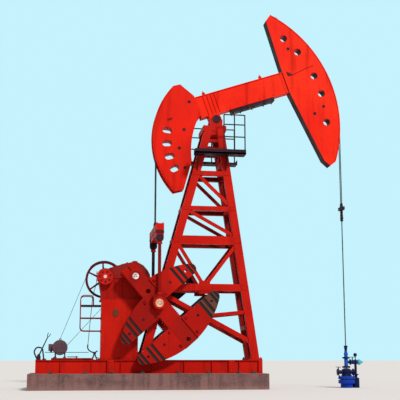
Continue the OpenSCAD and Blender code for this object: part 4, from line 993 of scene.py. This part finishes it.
seams = [tube(rounded([(3.06, HEAD_FACE["front"], 0.75), (3.5, HEAD_FACE["front"], 0.83),
                       (3.89, HEAD_FACE["front"], 0.87)], 0.2), 0.013, 8)]
for head, centre, radius, start, stop in (("front", (0, 0), 4.262, -35.5, 43.6),
                                          ("rear", (0.285, -0.786), 2.612, 121.5, 203.5)):
    t = np.radians(np.linspace(start, stop, 60))
    seams.append(tube(np.stack([centre[0] + radius * np.cos(t), HEAD_FACE[head] + 0 * t,
                                centre[1] + radius * np.sin(t)], -1), 0.007, 8))
# The pin holes are black discs on the cheeks: their black is painted shade, for the dark inside
# each hole.
piece("head_pin_holes", on_beam(mirrored(*pins)), black_paint, "beam")
piece("head_weld_seams", on_beam(mirrored(*seams)), cast_red, "beam")
slot_mark = [(0.045 * math.cos(t) + (0.05 if math.cos(t) > 0 else -0.05), 0.035 * math.sin(t))
             for t in (np.arange(24) + 0.5) * np.pi / 12]
slot_cover = upright(plate(slot_mark, 0, 0.006, 0.002), 0.229, -1.48, 0.471)
piece("rear_head_slot_covers", on_beam(mirrored(slot_cover)), deep_red, "beam")

# Ropes: greased six-strand wire rope. Two falls lie in the rear head's groove and hang
# to the equalizer, and a lighter bridle lies on the front head's face.
REAR_C, REAR_LINE, REAR_ANCHOR = (0.285, -0.786), 2.515, 124
BRIDLE_LINE, FACE_R, FACE_ANCHOR = 4.3153, 4.3, 41.6
STRAND_Y = (-0.06, 0.06)


def rope(path, radius, lay):
    """Six strands laid up: the section's radius dips between six lobes, 0.8 + 0.2 |cos 3a|,
    and the lobes turn once round in each lay length along the path."""
    path = np.asarray(path, float)
    step = np.linalg.norm(np.diff(path, axis=0), axis=1)
    run = np.concatenate([[0], np.cumsum(step)])[:, None]
    along = np.gradient(path, axis=0)
    along /= np.linalg.norm(along, axis=1)[:, None]
    side = np.broadcast_to(np.array([0.0, 1.0, 0.0]), along.shape)
    other = np.cross(along, side)
    angle = np.arange(24)[None, :] * np.pi / 12
    lobes = radius * (0.8 + 0.2 * np.abs(np.cos(3 * (angle - 2 * np.pi * run / lay))))
    return loft(path[:, None] + lobes[:, :, None] * (np.cos(angle)[..., None] * side[:, None]
                                                     + np.sin(angle)[..., None] * other[:, None]))


def arc_path(centre, radius, start, stop, y, spacing=0.02):
    """Points on an arc in the beam's plane, evenly spaced."""
    count = int(abs(math.radians(stop - start)) * radius / spacing)
    t = np.radians(np.linspace(start, stop, count))
    return np.stack([centre[0] + radius * np.cos(t), y + 0 * t,
                     centre[1] + radius * np.sin(t)], -1)


def drop_path(x, y, top, low, spacing=0.02):
    """Points straight down, evenly spaced."""
    z = np.linspace(top, low, int((top - low) / spacing))
    return np.stack([x + 0 * z, y + 0 * z, z], -1)


wire = bare_metal("greased_wire", (0.03, 0.022, 0.026), (0.09, 0.06, 0.055), 0.45, 0.8)
rear_rope = [rope(arc_path(REAR_C, REAR_LINE, REAR_ANCHOR, 203, y), 0.025, 0.36)
             for y in STRAND_Y]
clamp = join(block((0, -0.115, -0.06), (0.045, 0.115, 0.06), 0.008),
             bolts_at([(0.045, y, z) for y in (-0.09, 0, 0.09) for z in (-0.03, 0.03)],
                      0.016, 0.012, (1, 0, 0)))


def clamp_on(centre, radius, degrees):
    """The ropes' clamp on a round face, at an angle about the face's centre."""
    t = math.radians(degrees)
    return leaned(clamp, (centre[0] + radius * math.cos(t), centre[1] + radius * math.sin(t)), t)


piece("drive_rope_on_head", on_beam(*rear_rope, clamp_on(REAR_C, REAR_LINE, REAR_ANCHOR)), wire,
      "beam", ("drive_rope_wrap",))
hang_x, _, hang_top = joint["rope_swing"]["pos_m"]
hang_x -= REAR_LINE
piece("drive_rope_falls", join(*[rope(drop_path(hang_x, y, hang_top, EQUALIZER_TOP + 0.15), 0.025,
                                      0.36) for y in STRAND_Y]),
      wire, "drive_rope", ("drive_rope_span",))
socket = turned([(0, 0), (0.05, 0), (0.052, 0.02), (0.05, 0.1), (0.034, 0.16), (0.028, 0.16),
                 (0, 0.155)], 24)
piece("drive_rope_sockets", join(block((hang_x - 0.045, -0.115, EQUALIZER_TOP),
                                       (hang_x + 0.045, 0.115, EQUALIZER_TOP + 0.03)),
                                 *[aim(socket, (hang_x, y, EQUALIZER_TOP + 0.03))
                                   for y in STRAND_Y]),
      black_paint, "drive_rope")

face_rope = [rope(arc_path((0, 0), BRIDLE_LINE, -26.5, FACE_ANCHOR, y), 0.015, 0.22)
             for y in STRAND_Y]
piece("bridle_on_head", on_beam(*face_rope, clamp_on((0, 0), FACE_R, FACE_ANCHOR)), wire,
      "beam", ("bridle_wrap",))
CARRIER_TOP = 5.96
bridle = piece("bridle_falls", join(*[rope(drop_path(BRIDLE_LINE, y, PIVOT_Z, CARRIER_TOP + 0.1),
                                           0.015, 0.22) for y in STRAND_Y]),
               wire, None, ("bridle_span",))
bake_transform(bridle)

# Carrier bar and polished rod: the bridle's two sockets sit on the bar, and a bolted clamp
# under it grips the bright rod that runs down into the well.
finish(black_paint, "carrier_bar")
rod_steel = bare_metal("rod_steel", (0.16, 0.15, 0.16), (0.06, 0.05, 0.055), 0.32)
finish(rod_steel, "polished_rod")
carrier = [aim(turned([(0, 0), (0.034, 0), (0.035, 0.015), (0.033, 0.08), (0.02, 0.13),
                       (0.0, 0.13)], 24), (BRIDLE_LINE, y, CARRIER_TOP)) for y in STRAND_Y]
carrier.append(bolts_at([(BRIDLE_LINE + dx, -0.06, 5.58) for dx in (-0.02, 0.02)],
                        0.016, 0.014, (0, -1, 0)))
for z in (5.5, 5.66):
    carrier.append(aim(hoop([(0.046, -0.012), (0.054, -0.012), (0.054, 0.012),
                             (0.046, 0.012)], 32), (BRIDLE_LINE, 0, z)))
piece("carrier_sockets", join(*carrier), black_paint, "rod")

# Wellhead: flanged spools in two blues round the rod, a packing gland on top, a side outlet
# with a pale valve, two round handles on their stems, and a standpipe with a knob.
WELL_BLUE = (0.006, 0.035, 0.32)
NIGHT_BLUE = (0.004, 0.008, 0.045)
blue_paint = enamel("blue_enamel", WELL_BLUE, (0.015, 0.1, 0.5), (0.004, 0.012, 0.05),
                    (0.12, 0.2, 0.34), 0.35, 0.4, 0.5)
dark_blue = enamel("dark_blue_enamel", NIGHT_BLUE, (0.01, 0.02, 0.09), (0.003, 0.004, 0.01),
                   (0.05, 0.05, 0.09), 0.4, 0.4, 0.5)
cyan_paint = enamel("cyan_enamel", (0.02, 0.28, 0.4), (0.1, 0.5, 0.6), (0.01, 0.05, 0.08),
                    (0.2, 0.4, 0.5), 0.4, 0.4, 0.4)
WELL = (BRIDLE_LINE, 0, 0)
BORE, GLAND_BORE, STANDPIPE_X = 0.042, 0.0195, 4.63


def spool(profile, sides=40):
    """A turned sleeve round the bore: the profile's outer line, closed along the bore."""
    low, high = profile[0][1], profile[-1][1]
    return aim(hoop(list(profile) + [(BORE, high), (BORE, low)], sides), WELL)


base = [spool([(0.2, 0), (0.2, 0.13), (0.262, 0.14), (0.27, 0.15), (0.27, 0.235), (0.262, 0.245),
               (0.215, 0.25), (0.215, 0.265), (0.262, 0.27), (0.27, 0.28), (0.27, 0.355),
               (0.262, 0.365)])]
base.append(repeat(hex_bolt(0.022, 0.012),
                   [(BRIDLE_LINE + 0.235 * math.cos(t), 0.235 * math.sin(t), 0.365)
                    for t in np.arange(10) * np.pi / 5]))
piece("wellhead_base", join(*base), blue_paint, "root")
body = [spool([(0.17, 0.365), (0.17, 0.4), (0.15, 0.42), (0.15, 0.57), (0.12, 0.6),
               (0.07, 0.62)]),
        spool([(0.12, 0.63), (0.13, 0.635), (0.13, 0.685), (0.12, 0.69), (0.06, 0.7)]),
        spool([(0.056, 0.925), (0.115, 0.93), (0.12, 0.935), (0.12, 0.98), (0.115, 0.985)])]
for way, reach in ((-1, 0.3), (1, 0.24)):
    body.append(aim(turned([(0, 0.1), (0.062, 0.1), (0.062, reach - 0.04), (0.105, reach - 0.035),
                            (0.11, reach - 0.03), (0.11, reach), (0.105, reach + 0.005),
                            (0, reach + 0.005)], 32), (BRIDLE_LINE, 0, 0.5), (way, 0, 0)))
arm = turned([(0, 0.06), (0.045, 0.06), (0.045, 0.12), (0.09, 0.125), (0.09, 0.16), (0.05, 0.165),
              (0.07, 0.22), (0.07, 0.27), (0.05, 0.3), (0.09, 0.305), (0.09, 0.335),
              (0.04, 0.34), (0.04, 0.4), (0, 0.4)], 32)
body.append(aim(arm, (BRIDLE_LINE, 0, 0.82), (1, 0, 0)))
body.append(aim(turned([(0, 0), (0.11, 0), (0.11, 0.3), (0.1, 0.31), (0.05, 0.33), (0.05, 0.4),
                        (0.09, 0.405), (0.09, 0.44), (0.04, 0.445), (0.04, 0.75), (0.06, 0.76),
                        (0.06, 0.88), (0.02, 0.9), (0.014, 0.91), (0.014, 0.99), (0.03, 1.0),
                        (0.055, 1.03), (0.06, 1.06), (0.045, 1.1), (0, 1.115)], 28),
                (STANDPIPE_X, 0, 0)))
# two valve stems, each with a round handle on three bars
HANDLE_R = 0.08
for x, z in ((4.53, 0.98), (4.05, 0.66)):
    body.append(aim(rod(0.016, -0.1, 0, 14), (x, 0, z)))
    body.append(aim(round_ring(HANDLE_R, 0.009, 36), (x, 0, z)))
    for t in np.arange(3) * np.pi / 3:
        body.append(tube([(x - HANDLE_R * math.cos(t), -HANDLE_R * math.sin(t), z),
                          (x + HANDLE_R * math.cos(t), HANDLE_R * math.sin(t), z)], 0.006, 8))
piece("wellhead_body", join(*body), dark_blue, "root", ("wellhead",))
column = [spool([(0.06, 0.7), (0.062, 0.72), (0.062, 0.91), (0.056, 0.925)]),
          spool([(0.056, 0.985), (0.06, 1.0), (0.06, 1.06), (0.07, 1.065), (0.07, 1.1),
                 (0.056, 1.11), (0.05, 1.17)])]
piece("wellhead_column", join(*column), blue_paint, "root")
gland = hoop([(0.036, 1.165), (0.04, 1.18), (0.056, 1.3), (0.062, 1.315), (0.062, 1.345),
              (0.056, 1.35), (GLAND_BORE, 1.35), (GLAND_BORE, 1.165)], 36)
piece("packing_gland", aim(gland, WELL), dark_blue, "root",
      ("stuffing_box",))
tip = turned([(0, 0), (0.05, 0), (0.085, 0.03), (0.09, 0.07), (0.06, 0.12), (0.03, 0.16),
              (0.03, 0.185), (0, 0.185)], 28)
piece("outlet_valve", aim(tip, (4.69, 0, 0.82), (1, 0, 0)), cyan_paint, "root")

# The view: a pale floor, a pale sky-tinted backdrop, one soft key lamp and a camera at the
# photograph's place and angle.
FLOOR_HALF = 300.0
FLOOR_TONE = (0.8, 0.77, 0.74)
SKY_TONE = (0.56, 0.89, 0.98)
KEY_STRENGTH = 2.7
FILL_STRENGTH = 0.42

floor_mesh = bpy.data.meshes.new("floor")
corners = FLOOR_HALF * np.array([[-1, -1, 0], [1, -1, 0], [1, 1, 0], [-1, 1, 0]])
floor_mesh.from_pydata(corners.tolist(), [], [(0, 1, 2, 3)])
floor_mat, floor_tree, floor_shader, _ = new_material("floor")
feed(floor_tree, floor_shader, {"Base Color": (*FLOOR_TONE, 1), "Roughness": 1.0,
                                "Specular IOR Level": 0.0})
floor_mesh.materials.append(floor_mat)
stand("floor", floor_mesh)

world = bpy.data.worlds.new("studio")
bpy.context.scene.world = world
world.use_nodes = True
sky = world.node_tree
sky.nodes.clear()
light_side = add_node(sky, "Background", {"Color": (1, 1, 1, 1), "Strength": FILL_STRENGTH})
seen_side = add_node(sky, "Background", {"Color": (*SKY_TONE, 1), "Strength": 1.0})
rays = add_node(sky, "LightPath", {}).outputs
passing = combine(sky, "MAXIMUM", rays["Is Glossy Ray"], rays["Is Transmission Ray"])
seen = combine(sky, "MAXIMUM", rays["Is Camera Ray"], passing)
backdrop = add_node(sky, "MixShader", {0: seen, 1: light_side.outputs["Background"],
                                       2: seen_side.outputs["Background"]})
add_node(sky, "OutputWorld", {"Surface": backdrop.outputs["Shader"]})

key_data = bpy.data.lights.new("key", "SUN")
key_data.energy = KEY_STRENGTH
key_data.angle = math.radians(9)
key = stand("key", key_data)
key.rotation_euler = (math.radians(50), 0, math.radians(25))

camera_data = bpy.data.cameras.new("camera")
camera_data.lens = 76.5
camera_data.sensor_width = 36
camera_data.clip_end = 500
camera = stand("camera", camera_data)
camera.location = (-4.589, -27.269, 0.95)
camera.rotation_euler = (math.radians(90 + 10.53), 0, math.radians(-8.5))
bpy.context.scene.camera = camera

bpy.context.scene.view_settings.view_transform = "Standard"
